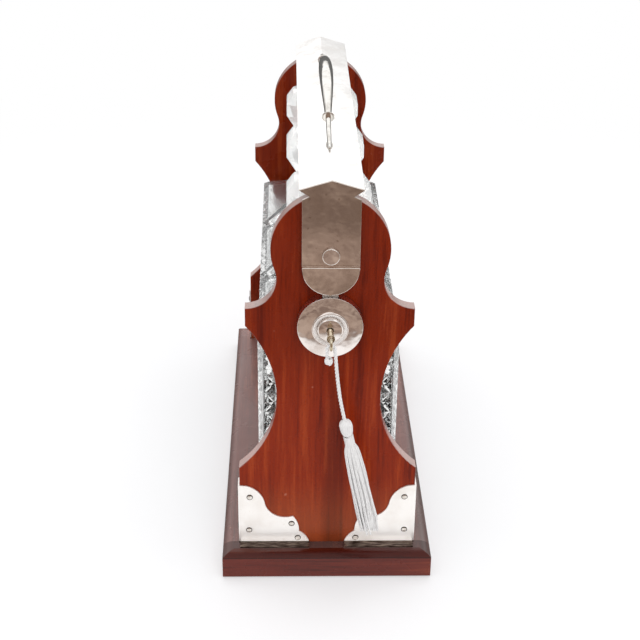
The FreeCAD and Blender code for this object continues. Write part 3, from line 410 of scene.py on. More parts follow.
def base_wood():
    """The slab's wood, turned on the mitred ends, with painted shade on the moulding and on the top before the
    lock end, and a painted shadow line under the moulding.
    """
    tones = tint(58, 18, 12), tint(96, 36, 26), tint(128, 60, 40)
    finish, shader, place = polished_mahogany("base_mahogany", tones, grain_along_x, 0.17, 0.34)
    x, y, z = split(place)
    from_end = base_high.x - abs(x)
    from_side = base_high.y - abs(y)
    mitred = (from_end < from_side) * (from_end < moulding_width)
    lay_over(shader["Base Color"], mitred, figured(place, tones, grain_along_y)["Color"])
    # Painted shade: the moulding's faces that turn from the light, and the top before the lock end panel, are
    # darkened.
    outward = eased(split(surface_normal(place))[2], (0.80, 0.97), (0.4, 0.0))
    lock_end = (x > base_high.x - setback) * 0.62
    painted_moulding_shade = worked("MAXIMUM", outward, lock_end) * (z > moulding_low)
    # Painted shadow line: a dark line along the seam under the moulding.
    shadow_line = eased(abs(z - moulding_low), (shadow_line_half / 2, shadow_line_half), (0.85, 0.0))
    lay_over(shader["Base Color"], worked("MAXIMUM", painted_moulding_shade, shadow_line), tint(36, 12, 8))
    return finish


def settled(shape, mesh, sharp_angle):
    """Puts a shape in the making into a mesh, smooth but for its sharp edges."""
    shape.to_mesh(mesh)
    shape.free()
    mesh.shade_smooth()
    mesh.set_sharp_from_angle(angle=sharp_angle)
    return mesh


def own_copy(node, name):
    """A mesh with the node's shape, welded and with its flat faces made whole again."""
    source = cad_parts[node].data
    places = [vertex.co[:] for vertex in source.vertices]
    mesh = bpy.data.meshes.new(name)
    mesh.from_pydata(places, [], [face.vertices[:] for face in source.polygons])
    shape = bmesh.new()
    shape.from_mesh(mesh)
    bmesh.ops.remove_doubles(shape, verts=shape.verts, dist=weld_gap)
    bmesh.ops.dissolve_limit(shape, angle_limit=flat_angle, verts=shape.verts, edges=shape.edges)
    return settled(shape, mesh, crisp_angle)


def stand_in(piece, node, body):
    """Puts a piece in the place of a node, on the node's body, and hides the node."""
    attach(piece, body)
    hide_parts(node)


def dressed(node, finish, body, width, name=None):
    """The node's own shape with rounded edges and its finish."""
    name = name or node + "_finished"
    piece = placed(name, own_copy(node, name))
    bevel = piece.modifiers.new("edges", "BEVEL")
    bevel.width = width
    bevel.segments = bevel_steps
    bevel.limit_method = "ANGLE"
    bevel.angle_limit = crisp_angle
    bevel.harden_normals = True
    piece.data.materials.append(finish)
    stand_in(piece, node, body)


def finish_node(node, finish):
    """A node that keeps its own mesh gets its finish."""
    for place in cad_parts[node].material_slots:
        place.material = finish


dressed("base_board", base_wood(), "root", base_edge_round)


# Baize
# Dyed wool felt: one sheet glued under the base so that it doesn't scratch a table, and one in the
# well under the decanters.
def baize_cloth():
    """Felted wool with a short nap."""
    values = {"Roughness": 0.95, "Sheen Weight": 0.35, "Sheen Roughness": 0.6}
    finish, shader, place = new_finish("green_baize", values)
    nap = noise(place, 900.0, 4.0, 0.7)
    tone = blended(nap, tint(22, 48, 30), tint(58, 96, 62))
    worn_share = eased(noise(place, 22.0), (0.45, 0.8), (0.0, 0.4))
    feed(shader["Base Color"], blended(worn_share, tone, tint(86, 104, 74)))
    feed(shader["Normal"], bumped(nap, 0.5, 0.0004))
    return finish


green_baize = baize_cloth()
for sheet in ("base_baize", "well_baize"):
    finish_node(sheet, green_baize)


# End panels
# Two mahogany boards cut to the same outline, upright grain, with a fine arris. They are screwed
# through the base from below, and carry the lock at one end and the hinge at the other.
lock_middle_z = (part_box("escutcheon")[0].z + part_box("escutcheon")[1].z) / 2
face_depth = 0.001
stripe_offset = 0.001
stripe_sway = 0.012
stripe_half = (0.002, 0.012)
stripe_top = (0.19, 0.17)
shadow_line_reach = (0.0230, 0.0244)
foot_light = (0.03, 0.085)
head_shade = (0.13, 0.21)


def panel_wood():
    """The ends' wood, darker in a stripe down the middle below the lock, with painted light near its foot,
    painted shade towards its head and a painted shadow line round the lock.
    """
    tones = tint(96, 27, 7), tint(128, 40, 10), tint(150, 58, 24)
    finish, shader, place = polished_mahogany("panel_mahogany", tones, upright_grain, 0.60, 0.16, 150.0)
    x, y, z = split(place)
    # Darker in a vertical stripe down the middle of the board, below the lock.
    off_stripe = abs(y + stripe_offset - noise(stretched(place, (1, 1, 0.2)), 40.0) * stripe_sway)
    dark_stripe = eased(off_stripe, stripe_half, (0.34, 0.0)) * eased(z, stripe_top)
    up = z - lock_middle_z
    from_lock = worked("SQRT", y * y + up * up)
    # Painted shadow line: a dark ring on the panel's face round the lock case.
    shadow_line = eased(from_lock, shadow_line_reach, (0.60, 0.0)) * (x > panel_high.x - face_depth)
    # Painted light: the board is lightened near its foot, as if lit from the paper.
    lay_over(shader["Base Color"], eased(z, foot_light, (0.17, 0.0)), tint(206, 128, 84))
    # Painted shade: the board darkens towards its head.
    head = eased(z, head_shade, (0.0, 0.22))
    lay_over(shader["Base Color"], worked("MAXIMUM", worked("MAXIMUM", dark_stripe, shadow_line), head), tint(40, 10, 2))
    return finish


panel_mahogany = panel_wood()
for panel in ("lock_end_panel", "hinge_end_panel"):
    finish_node(panel, panel_mahogany)


# Steel screws and small iron work
# Drawn and turned steel, dull grey with a brown cast, never polished. The screws of the panels, the
# lock, the handle and the hinge are of it, and so are the bolt, the rivets, the button's spring and pin.
def dull_steel():
    """Grey steel with fine turning lines and a little brown."""
    finish, shader, place = new_finish("dull_steel", {"Metallic": 1.0})
    cloud = noise(place, 160.0, 4.0)
    feed(shader["Base Color"], blended(cloud, tint(168, 165, 160), tint(122, 108, 96)))
    feed(shader["Roughness"], eased(cloud, (0.2, 0.8), (0.28, 0.5)))
    feed(shader["Normal"], bumped(noise(stretched(place, (1, 0.1, 1)), 3200.0, 2.0), 0.2, 0.00005))
    return finish


steel = dull_steel()
for iron in ("panel_screws", "lock_screws", "lock_bolt", "handle_screws", "hasp_rivets", "spring_bridge",
             "button_spring", "hinge_pin", "hinge_panel_screws", "hinge_bar_screws"):
    finish_node(iron, steel)


# Corner brackets and their pins
# Sheet metal sawn to a scrolled outline, bent round the foot of each panel, silver plated and
# polished, and held by small domed pins.
bracket_round = 0.00028
bracket_thickness = 0.0012
bracket_low, bracket_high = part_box("corner_bracket_1")
bracket_reach = bracket_high.y - bracket_thickness - bracket_low.y
bracket_height = bracket_high.z - bracket_low.z
foot_top = bracket_low.z + 0.0014
pin_sizes = {"Head Radius": 0.0024, "Head Rise": 0.0008, "Shank Radius": 0.0008, "Shank Length": 0.006}
front_pin_shares = ((0.143, 0.802), (0.128, 0.228), (0.741, 0.340), (0.831, 0.087))
side_pin_shares = (0.802, 0.228)


def group_plate_wear():
    """What years of polishing leave: cloudy smudges, specks and hairlines."""
    tree, given, result = new_group(
        "ShaderNodeTree", "plate_wear",
        [("Vector", ["Vector"]), ("Float", ["Smudge Scale"])], [("Float", ["Smudge", "Specks", "Hairlines"])])
    place = given["Vector"]
    feed(result["Smudge"], eased(noise(place, given["Smudge Scale"], 6.0, 0.62), (0.38, 0.72)))
    feed(result["Specks"], marked(place, 160.0, 0.16, 0.35))
    first = noise(stretched(place, (1, 1, 0.04), (0.5, 0.2, 0.3)), 2600.0, 2.0)
    second = noise(stretched(place, (1, 0.05, 1), (0.9, 0.4, 0.1)), 1900.0, 2.0)
    feed(result["Hairlines"], first + second)
    return tree


plate_wear = group_plate_wear()


def worn(place, smudge_scale):
    """The wear of a polished metal."""
    feeds = {"Vector": place, "Smudge Scale": smudge_scale}
    return wired("ShaderNodeGroup", feeds, node_tree=plate_wear)


def silver_plate(name, bright, tarnish, rough, smudge_scale=45.0, dent=0.0003, dome=None, metallic=1.0):
    """Polished silver plate, clean where it is bright and brownish where it has dulled. Dome is the
    radius of a face that bulges about the lock's middle."""
    finish, shader, place = new_finish(name, {"Metallic": metallic})
    wear = worn(place, smudge_scale)
    clouded = blended(wear["Smudge"] * 0.6, bright, tarnish)
    feed(shader["Base Color"], blended(wear["Specks"] * 0.5, clouded, tarnish))
    feed(shader["Roughness"], eased(wear["Smudge"], (0.0, 1.0), rough))
    swell = noise(place, 70.0, 2.0) * dent
    if dome:
        x, y, z = split(place)
        up = z - lock_middle_z
        swell = swell - (y * y + up * up) / (2 * dome)
    feed(shader["Normal"], bumped(wear["Hairlines"], 0.08, 0.00005, bumped(swell, 1.0, 1.0)))
    return finish


def bracket_finish():
    """Satin from polishing, with a painted reflection on the narrow foot: dark with pale streaks, unseen by
    mirrored rays.
    """
    finish = silver_plate(
        "bracket_plate", tint(253, 250, 247), tint(240, 234, 228), (0.30, 0.40), metallic=0.72)
    shader, place = opened(finish)
    # Painted reflection: the foot is coloured dark brown with pale streaks, as the dim room would look mirrored
    # in it.
    reflection_streaks = noise(stretched(place, (1, 0.12, 1)), 900.0, 4.0)
    foot_reflection_colour = blended(eased(reflection_streaks, (0.42, 0.66)), tint(58, 42, 34), tint(140, 124, 112))
    mirrored = add_node(finish.node_tree, "ShaderNodeLightPath")["Is Glossy Ray"]
    lay_over(shader["Base Color"], (split(place)[2] < foot_top) * (1.0 - mirrored), foot_reflection_colour)
    return finish


def pin_finish():
    """Bright on the crown of each head, with painted shade round its edge."""
    finish = silver_plate("pin_plate", tint(236, 232, 226), tint(190, 180, 170), (0.16, 0.30), 300.0)
    shader, place = opened(finish)
    shader["Specular Tint"].default_value = (0.12, 0.11, 0.10, 1.0)
    facing = add_node(finish.node_tree, "ShaderNodeAttribute", attribute_name="facing")["Vector"]
    feeds = {0: surface_normal(place), 1: facing}
    level = wired("ShaderNodeVectorMath", feeds, operation="DOT_PRODUCT")["Value"]
    # Painted shade: the head darkens where its face turns from the pin's axis, round its edge.
    lay_over(shader["Base Color"], eased(level, (0.83, 0.96), (1.0, 0.0)), tint(46, 40, 36))
    return finish


def coated(geometry, finish):
    """Geometry made real and smooth, with its finish."""
    real = wired("GeometryNodeRealizeInstances", {0: geometry})[0]
    smooth = wired("GeometryNodeSetShadeSmooth", {0: real})[0]
    return wired("GeometryNodeSetMaterial", {"Geometry": smooth, "Material": finish})[0]


def grown(name, seed, tree, sizes):
    """The plain mesh that a geometry tree makes from a seed mesh."""
    piece = placed(name, seed)
    growth = piece.modifiers.new("growth", "NODES")
    growth.node_group = tree
    for item in tree.interface.items_tree:
        if item.in_out == "INPUT" and item.name in sizes:
            growth[item.identifier] = sizes[item.name]
    bpy.context.view_layer.update()
    mesh = bpy.data.meshes.new_from_object(piece.evaluated_get(bpy.context.evaluated_depsgraph_get()))
    piece.modifiers.remove(growth)
    piece.data = mesh
    mesh.name = name
    return piece


def tree_domed_pins():
    """A domed head and a shank at each point, along the point's own direction."""
    tree, given, result = new_group(
        "GeometryNodeTree", "domed_pins",
        [("Geometry", ["Geometry"]), ("Float", list(pin_sizes)), ("Material", ["Finish"])],
        [("Geometry", ["Geometry"])])
    ball = add_node(tree, "GeometryNodeMeshUVSphere", {"Segments": 28, "Rings": 12, "Radius": 1.0})["Mesh"]
    flat = vector_of(given["Head Radius"], given["Head Radius"], given["Head Rise"])
    head = wired("GeometryNodeTransform", {"Geometry": ball, "Scale": flat})[0]
    rod = wired("GeometryNodeMeshCylinder", {
        "Vertices": 12, "Radius": given["Shank Radius"], "Depth": given["Shank Length"]})["Mesh"]
    drop = vector_of(0.0, 0.0, given["Shank Length"] * -0.5)
    shank = wired("GeometryNodeTransform", {"Geometry": rod, "Translation": drop})[0]
    both = add_node(tree, "GeometryNodeJoinGeometry", {0: [shank, head]})[0]
    facing = add_node(tree, "GeometryNodeInputNamedAttribute", {"Name": "facing"}, data_type="FLOAT_VECTOR")[0]
    turn = wired("FunctionNodeAlignRotationToVector", {"Vector": facing}, axis="Z")[0]
    copies = wired("GeometryNodeInstanceOnPoints", {
        "Points": given["Geometry"], "Rotation": turn, "Instance": both})[0]
    feed(result[0], coated(copies, given["Finish"]))
    return tree


def pin_points():
    """A seed mesh with the place of each pin and the direction that it faces."""
    places = []
    for end in (-1, 1):
        for side in (-1, 1):
            for inward, up in front_pin_shares:
                across = panel_high.y - bracket_reach * inward
                height = panel_low.z + bracket_height * up
                places.append(((end * (panel_high.x + bracket_thickness), side * across, height), (end, 0, 0)))
            for up in side_pin_shares:
                height = panel_low.z + bracket_height * up
                along = end * (panel_low.x + panel_high.x) / 2
                places.append(((along, side * (panel_high.y + bracket_thickness), height), (0, side, 0)))
    mesh = bpy.data.meshes.new("bracket_pin_points")
    mesh.from_pydata([place for place, direction in places], [], [])
    facing = mesh.attributes.new("facing", "FLOAT_VECTOR", "POINT")
    facing.data.foreach_set("vector", [part for place, direction in places for part in direction])
    return mesh


bracket_plate = bracket_finish()
for number in (1, 2, 3, 4):
    dressed("corner_bracket_%d" % number, bracket_plate, "root", bracket_round)
pins = grown("bracket_pins_domed", pin_points(), tree_domed_pins(), {**pin_sizes, "Finish": pin_finish()})
stand_in(pins, "bracket_pins", "root")


# Drum lock
# A shallow round case on the lock end, closed by a turned escutcheon with a raised ring. The plug
# in its middle takes the key, and a slot in the top of the case takes the tongue of the hasp.
case_round = 0.0004
plug_round = 0.0002
plug_dome = 0.045
turn_steps = 128
escutcheon_low, escutcheon_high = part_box("escutcheon")
rim_radius = (escutcheon_high.y - escutcheon_low.y) / 2
rim_rise = 0.0006
rim_bend = (rim_radius - 0.00009, 0.00081)
rim_top = (rim_radius - 0.0003, 0.0009)
rim_steps = 4
dome_middle = (0.01818, 0.00162)
dome_end = (0.01305, 0.0021)
dome_steps = 12
ring_foot = (0.01305, 0.00315)
ring_bend = (0.01280, 0.0038)
ring_top = (0.0122, 0.0040)
ring_steps = 8
bore = 0.00915
dish_profile = [(0.0119, 0.00395), (0.0094, 0.0021), (bore, 0.0018)]
dish_low = 0.0092
dish_high = 0.0121
dish_least_depth = 0.001


def arc_points(start, middle, end, steps):
    """Points along the arc through three others, without its start."""
    (ax, ay), (bx, by), (cx, cy) = start, middle, end
    a, b, c = ax * ax + ay * ay, bx * bx + by * by, cx * cx + cy * cy
    area = 2 * (ax * (by - cy) + bx * (cy - ay) + cx * (ay - by))
    ux = (a * (by - cy) + b * (cy - ay) + c * (ay - by)) / area
    uy = (a * (cx - bx) + b * (ax - cx) + c * (bx - ax)) / area
    radius = math.hypot(ax - ux, ay - uy)
    first = math.atan2(ay - uy, ax - ux)
    sweep = math.atan2(cy - uy, cx - ux) - first
    half = math.atan2(by - uy, bx - ux) - first
    while sweep * half < 0 or abs(sweep) > 2 * math.pi:
        sweep -= math.copysign(2 * math.pi, sweep)
    angles = [first + sweep * step / steps for step in range(1, steps + 1)]
    return [(ux + radius * math.cos(angle), uy + radius * math.sin(angle)) for angle in angles]


def join_rings(shape, lower, upper):
    """Faces between two rings of as many points."""
    for index in range(len(lower)):
        ahead = (index + 1) % len(lower)
        shape.faces.new((lower[index], lower[ahead], upper[ahead], upper[index]))


def closed_up(shape):
    """Welds a shape and turns its faces outwards."""
    bmesh.ops.remove_doubles(shape, verts=shape.verts, dist=weld_gap)
    bmesh.ops.recalc_face_normals(shape, faces=shape.faces)
    return shape


def mesh_piece(name, shape, finish, sharp_angle=crisp_angle * 2):
    """A finished piece from a shape in the making."""
    piece = placed(name, settled(shape, bpy.data.meshes.new(name), sharp_angle))
    piece.data.materials.append(finish)
    return piece


def turned_shape(profile, place):
    """A closed profile of radius and distance, turned about an axis that points along X."""
    shape = bmesh.new()
    rings = []
    for radius, far in profile:
        angles = [2 * math.pi * step / turn_steps for step in range(turn_steps)]
        rings.append([shape.verts.new(Vector((far, radius * math.cos(angle), radius * math.sin(angle))) + place)
                      for angle in angles])
    for index, ring in enumerate(rings):
        join_rings(shape, ring, rings[(index + 1) % len(rings)])
    return closed_up(shape)


bright_lock = tint(246, 240, 236)
lock_plate = silver_plate("lock_plate", bright_lock, tint(196, 180, 170), (0.06, 0.16), 60.0, 0.0006)
plug_plate = silver_plate("plug_plate", bright_lock, tint(190, 172, 160), (0.07, 0.16), 90.0, dome=plug_dome)
case_plate = silver_plate("case_plate", tint(246, 226, 220), tint(206, 170, 160), (0.22, 0.36), 60.0)
dish_plate = silver_plate(
    "dish_plate", tint(255, 253, 251), tint(236, 230, 224), (0.40, 0.55), metallic=0.45)
dressed("lock_case", case_plate, "root", case_round)
dressed("lock_plug", plug_plate, "plug", plug_round)

rim_edge = (rim_radius, rim_rise)
profile = [(bore, 0), (rim_radius, 0), rim_edge, *arc_points(rim_edge, rim_bend, rim_top, rim_steps)]
profile += arc_points(rim_top, dome_middle, dome_end, dome_steps)
profile += [ring_foot, *arc_points(ring_foot, ring_bend, ring_top, ring_steps), *dish_profile]
turned = turned_shape(profile, Vector((escutcheon_low.x, 0, lock_middle_z)))
escutcheon = mesh_piece("escutcheon_turned", turned, lock_plate, crisp_angle)
escutcheon.data.materials.append(dish_plate)
for face in escutcheon.data.polygons:
    from_axis = math.hypot(face.center.y, face.center.z - lock_middle_z)
    if dish_low < from_axis < dish_high and face.center.x > escutcheon_low.x + dish_least_depth:
        face.material_index = 1
stand_in(escutcheon, "escutcheon", "root")


# Key
# A small brass key, plated once and worn yellow, with a barrel shank, a collar and a round bow.
key_round = 0.00012


def worn_brass(name, bright, deep, rough):
    """Handled brass, darker where fingers don't reach."""
    finish, shader, place = new_finish(name, {"Metallic": 1.0})
    wear = worn(place, 150.0)
    feed(shader["Base Color"], blended(wear["Smudge"], bright, deep))
    feed(shader["Roughness"], eased(wear["Smudge"], (0.0, 1.0), rough))
    feed(shader["Normal"], bumped(wear["Hairlines"], 0.1, 0.00005))
    return finish


key_brass = worn_brass("key_brass", tint(232, 222, 198), tint(156, 138, 104), (0.12, 0.30))
dressed("key", key_brass, "key", key_round)


# Tassel
# White silk on a twisted cord that is looped over the bow of the key and knotted. The head is a wound
# ball, bound with thread under it, and the skirt is a bundle of loose threads in soft locks.
ring_x = 0.2065
ring_low_z = 0.20835
cord_width = 0.0026
cord_route = ((2.69, 0.21), (3.83, -14.25), (5.40, -29.17), (7.49, -44.02), (10.35, -57.15))
millimetre = 0.001
route_steps = 24
strand_count = 3
strand_pitch = 0.0085
strand_squeeze = 1.08
strand_sides = 10
loop_steps = 16
loop_squeeze = 0.96
tail_length = 0.0094
tail_steps = 8
knot_side = 0.0015
knot_turns = 4
knot_steps = 120
knot_height = 0.0044
knot_radius = 0.0021
knot_half = 0.0027
knot_least = 0.12
knot_thread = 0.00095
head_length = 0.013
head_radius = 0.00535
band_length = 0.0078
band_radius = 0.0043
band_sink = 0.0009
band_turns = 11
band_steps = 24
band_thread = 0.00036
band_sides = 6
skirt_length = 0.078
skirt_radius = 0.0087
thread_sides = 6
golden_turn = math.pi * (3 - math.sqrt(5))


def silk_thread(name, shade, light):
    """Satin-bright silk, each thread a little different."""
    finish, shader, place = new_finish(name, {
        "Roughness": 0.42, "Sheen Weight": 0.25, "Specular IOR Level": 0.6, "Subsurface Weight": 0.15,
        "Subsurface Radius": (0.002, 0.002, 0.002)})
    fine = noise(stretched(place, (1, 1, 0.12)), 1500.0)
    feed(shader["Base Color"], blended(fine, shade, light))
    feed(shader["Normal"], bumped(noise(place, 5200.0, 2.0), 0.25, 0.0001))
    return finish


def route_points(points, steps):
    """Points read from the smooth line that the route's own points control."""
    line = bpy.data.curves.new("route", "CURVE")
    line.dimensions = "3D"
    line.resolution_u = steps
    spline = line.splines.new("NURBS")
    spline.points.add(len(points) - 1)
    for held, point in zip(spline.points, points):
        held.co = (*point, 1)
    spline.order_u = 3
    spline.use_endpoint_u = True
    holder = placed("route", line)
    bpy.context.view_layer.update()
    mesh = bpy.data.meshes.new_from_object(holder.evaluated_get(bpy.context.evaluated_depsgraph_get()))
    read = [vertex.co.copy() for vertex in mesh.vertices]
    bpy.data.objects.remove(holder)
    return read


def across_line(line):
    """Each point of a line, with two directions across the line there."""
    side_way = Vector((1, 0, 0))
    for index, point in enumerate(line):
        way = (line[min(index + 1, len(line) - 1)] - line[max(index - 1, 0)]).normalized()
        side_way = (side_way - way * side_way.dot(way)).normalized()
        yield point, side_way, way.cross(side_way)


def add_ring(shape, middle, side_way, up_way, radius, sides):
    """A round of points, added to a shape."""
    angles = [2 * math.pi * side / sides for side in range(sides)]
    return [shape.verts.new(middle + (side_way * math.cos(angle) + up_way * math.sin(angle)) * radius)
            for angle in angles]


def add_tube(shape, line, radius, sides):
    """A round tube along points, closed at its ends, added to a shape."""
    rings = [add_ring(shape, *spot, radius, sides) for spot in across_line(line)]
    for first, second in zip(rings, rings[1:]):
        join_rings(shape, first, second)
    shape.faces.new(list(reversed(rings[0])))
    shape.faces.new(rings[-1])


def twisted_cord(line, width):
    """A shape of strands laid round each other along points."""
    shape = bmesh.new()
    strand = width / (1 + 2 / math.sqrt(3)) / 2
    travelled = [0.0]
    for before, after in zip(line, line[1:]):
        travelled.append(travelled[-1] + (after - before).length)
    for number in range(strand_count):
        strand_line = []
        for far, (point, side_way, up_way) in zip(travelled, across_line(line)):
            angle = 2 * math.pi * (number / strand_count + far / strand_pitch)
            outward = side_way * math.cos(angle) + up_way * math.sin(angle)
            strand_line.append(point + outward * (width / 2 - strand))
        add_tube(shape, strand_line, strand * strand_squeeze, strand_sides)
    return shape


def hanging_threads(name, outline):
    """A tree of threads that hang from the origin, as wide as an outline of shares of length and radius."""
    tree, given, result = new_group(
        "GeometryNodeTree", name,
        [("Geometry", ["Geometry"]), ("Int", ["Threads", "Steps", "Seed"]), ("Material", ["Finish"]),
         ("Float", ["Length", "Radius", "Hollow", "Thread Radius", "Locks", "Lock Depth", "Uneven", "Stray"])],
        [("Geometry", ["Geometry"])])
    spots = wired("GeometryNodeMeshLine", {"Count": given["Threads"]}, mode="OFFSET")[0]
    single = add_node(tree, "GeometryNodeCurvePrimitiveLine", {"Start": (0, 0, 0), "End": (0, 0, -1)})[0]
    jointed = wired("GeometryNodeResampleCurve", {"Curve": single, "Count": given["Steps"]})[0]
    many = wired("GeometryNodeInstanceOnPoints", {"Points": spots, "Instance": jointed})[0]
    threads = wired("GeometryNodeRealizeInstances", {0: many})[0]
    share = add_node(tree, "GeometryNodeSplineParameter")["Factor"]
    number = add_node(tree, "GeometryNodeCurveOfPoint")["Curve Index"]
    feeds = {"ID": number, "Seed": given["Seed"]}
    chance = wired("FunctionNodeRandomValue", feeds, data_type="FLOAT")[1]
    order = (number + 0.5) / worked("MAXIMUM", given["Threads"], 1.0)
    layer = worked("SQRT", eased(order, (0.0, 1.0), (given["Hollow"], 1.0), "LINEAR"))
    angle = number * golden_turn
    swing = worked("SINE", angle * given["Locks"])
    gathered = angle + swing * given["Lock Depth"] / given["Locks"] * share
    widths = wired("ShaderNodeFloatCurve", {"Value": share})[0]
    curve = widths.socket.node.mapping
    points = curve.curves[0].points
    points[0].location = outline[0]
    points[1].location = outline[-1]
    for spot in outline[1:-1]:
        points.new(*spot)
    curve.update()
    fold = worked("COSINE", angle * given["Locks"]) * share * given["Lock Depth"]
    width = widths * given["Radius"] * layer * ((fold - 0.5) * 0.24 + 1.0)
    feeds = {"W": number * 3.7, "Vector": vector_of(0.0, 0.0, share * 2.2), "Scale": 1.0, "Detail": 1.0}
    drift = wired("ShaderNodeTexNoise", feeds, noise_dimensions="4D")["Color"]
    feeds = {0: vector_worked("SUBTRACT", drift, (0.5, 0.5, 0.5)), "Scale": given["Stray"] * share}
    stray = wired("ShaderNodeVectorMath", feeds, operation="SCALE")[0]
    fall = share * (1.0 - chance * given["Uneven"]) * (given["Length"] * -1.0)
    spread_out = vector_of(worked("COSINE", gathered) * width, worked("SINE", gathered) * width, fall)
    hung = wired("GeometryNodeSetPosition", {
        "Geometry": threads, "Position": vector_worked("ADD", spread_out, stray)})[0]
    section = wired("GeometryNodeCurvePrimitiveCircle", {
        "Resolution": thread_sides, "Radius": given["Thread Radius"]})[0]
    solid = wired("GeometryNodeCurveToMesh", {
        "Curve": hung, "Profile Curve": section, "Fill Caps": True})[0]
    feed(result[0], coated(solid, given["Finish"]))
    return tree


def grown_threads(name, outline, sizes):
    """The threads of one part of the tassel."""
    tree = hanging_threads(name + "_tree", outline)
    return grown(name, bpy.data.meshes.new(name + "_seed"), tree, {**sizes, "Finish": white_silk})


def hang(piece, node, place):
    """Moves a mesh made at the origin to where it hangs, in the place of a node."""
    piece.data.transform(Matrix.Translation(place) @ Matrix.Rotation(lean, 4, "X"))
    stand_in(piece, node, "tassel")


white_silk = silk_thread("white_silk", tint(196, 194, 192), tint(244, 243, 242))
low_point = Vector((ring_x, 0, ring_low_z))
route = [Vector((ring_x, y * millimetre, ring_low_z + z * millimetre)) for y, z in cord_route]
line = route_points(route, route_steps)
tassel_cord = mesh_piece("tassel_cord_twisted", twisted_cord(line, cord_width), white_silk)
stand_in(tassel_cord, "tassel_cord", "tassel")

bend = (route[0] - low_point).length
start_turn = math.atan2(route[0].z - ring_low_z, route[0].y)
loop_line = []
for step in range(loop_steps + 1):
    angle = start_turn + (math.pi - start_turn) * step / loop_steps
    loop_line.append(low_point + Vector((0, math.cos(angle), math.sin(angle))) * bend)
for step in range(1, tail_steps + 1):
    loop_line.append(low_point + Vector((0, -bend, -tail_length * step / tail_steps)))
shape = twisted_cord(loop_line, cord_width * loop_squeeze)
knot_middle = low_point + Vector((0, -knot_side, -tail_length))
knot_line = []
for step in range(knot_steps + 1):
    turn = 2 * math.pi * knot_turns * step / knot_steps
    rise = (step / knot_steps - 0.5) * knot_height
    swell = knot_radius * math.sqrt(max(1 - (rise / knot_half) ** 2, knot_least))
    knot_line.append(knot_middle + Vector((math.cos(turn) * swell, math.sin(turn) * swell, rise)))
add_tube(shape, knot_line, knot_thread, strand_sides)
knot = mesh_piece("tassel_knot", shape, white_silk)
stand_in(knot, "cord_knot", "tassel")

hang_way = (route[-1] - route[-2]).normalized()
lean = math.atan2(hang_way.y, -hang_way.z)
head_top = route[-1]
band_top = head_top + hang_way * head_length
skirt_top = band_top + hang_way * band_length

head_outline = (
    (0, 0.2), (0.06, 0.52), (0.16, 0.82), (0.32, 0.95), (0.55, 0.94), (0.75, 0.86), (0.9, 0.70), (1, 0.55))
head = grown_threads("tassel_head_wound", head_outline, {
    "Threads": 54, "Steps": 20, "Length": head_length, "Radius": head_radius - 0.0003, "Hollow": 0.86,
    "Thread Radius": 0.00052, "Locks": 6.0, "Lock Depth": 0.15, "Uneven": 0.0, "Stray": 0.0009, "Seed": 5})
hang(head, "tassel_head", head_top)

skirt_outline = ((0, 0.46), (0.03, 0.62), (0.09, 0.76), (0.25, 0.88), (0.50, 0.95), (0.86, 0.97), (1, 0.92))
skirt = grown_threads("tassel_skirt_threads", skirt_outline, {
    "Threads": 66, "Steps": 18, "Length": skirt_length, "Radius": skirt_radius - 0.0008, "Hollow": 0.25,
    "Thread Radius": 0.00062, "Locks": 7.0, "Lock Depth": 0.55, "Uneven": 0.11, "Stray": 0.0042, "Seed": 11})
hang(skirt, "tassel_skirt", skirt_top)

shape = bmesh.new()
band_line = []
for step in range(band_turns * band_steps + 1):
    angle = 2 * math.pi * step / band_steps
    reach = band_radius - band_sink
    down = band_length * step / (band_turns * band_steps)
    band_line.append(Vector((math.cos(angle) * reach, math.sin(angle) * reach, -down)))
add_tube(shape, band_line, band_thread, band_sides)
band = mesh_piece("tassel_band_wound", shape, white_silk)
hang(band, "tassel_band", band_top)


# Hinge
# A small brass butt hinge at the far end, one leaf screwed to the panel and one under the bar.
leaf_round = 0.0002
hinge_brass = worn_brass("hinge_brass", tint(206, 182, 128), tint(136, 108, 66), (0.20, 0.38))
dressed("hinge_panel_leaf", hinge_brass, "root", leaf_round)
dressed("hinge_bar_leaf", hinge_brass, "bar", leaf_round)


# Locking bar
# A strip of plain beech inside a plated cover of folded sheet, gabled like a low roof, with a cap
# soldered over its hinge end.
bar_round = 0.0005
cap_round = 0.0003


def bare_beech():
    """Unpolished wood inside the bar."""
    finish, shader, place = new_finish("bare_beech", {"Roughness": 0.75})
    figure = figured(place, (tint(140, 100, 64), tint(176, 134, 92), tint(200, 160, 116)), grain_along_x)
    feed(shader["Base Color"], figure["Color"])
    feed(shader["Normal"], bumped(figure["Pores"], 0.3, 0.0002))
    return finish


bright_plate = silver_plate(
    "bright_plate", tint(253, 251, 249), tint(240, 235, 230), (0.12, 0.22), dent=0.00004)
finish_node("bar_core", bare_beech())
dressed("bar_cover", bright_plate, "bar", bar_round)
dressed("bar_end_cap", bright_plate, "bar", cap_round)


# Hasp with its tongue, front plate and push button
# Thick plated sheet on the end of the bar, cut to a tongue that drops into the lock, with a half-round
# plate riveted over it and a sprung button through both.
hasp_round = 0.0007
front_plate_round = 0.0009
button_round = 0.0005
button_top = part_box("push_button")[1].z
darkening_rise = 0.020
tongue_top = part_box("hasp_front_plate")[0].z - 0.0004


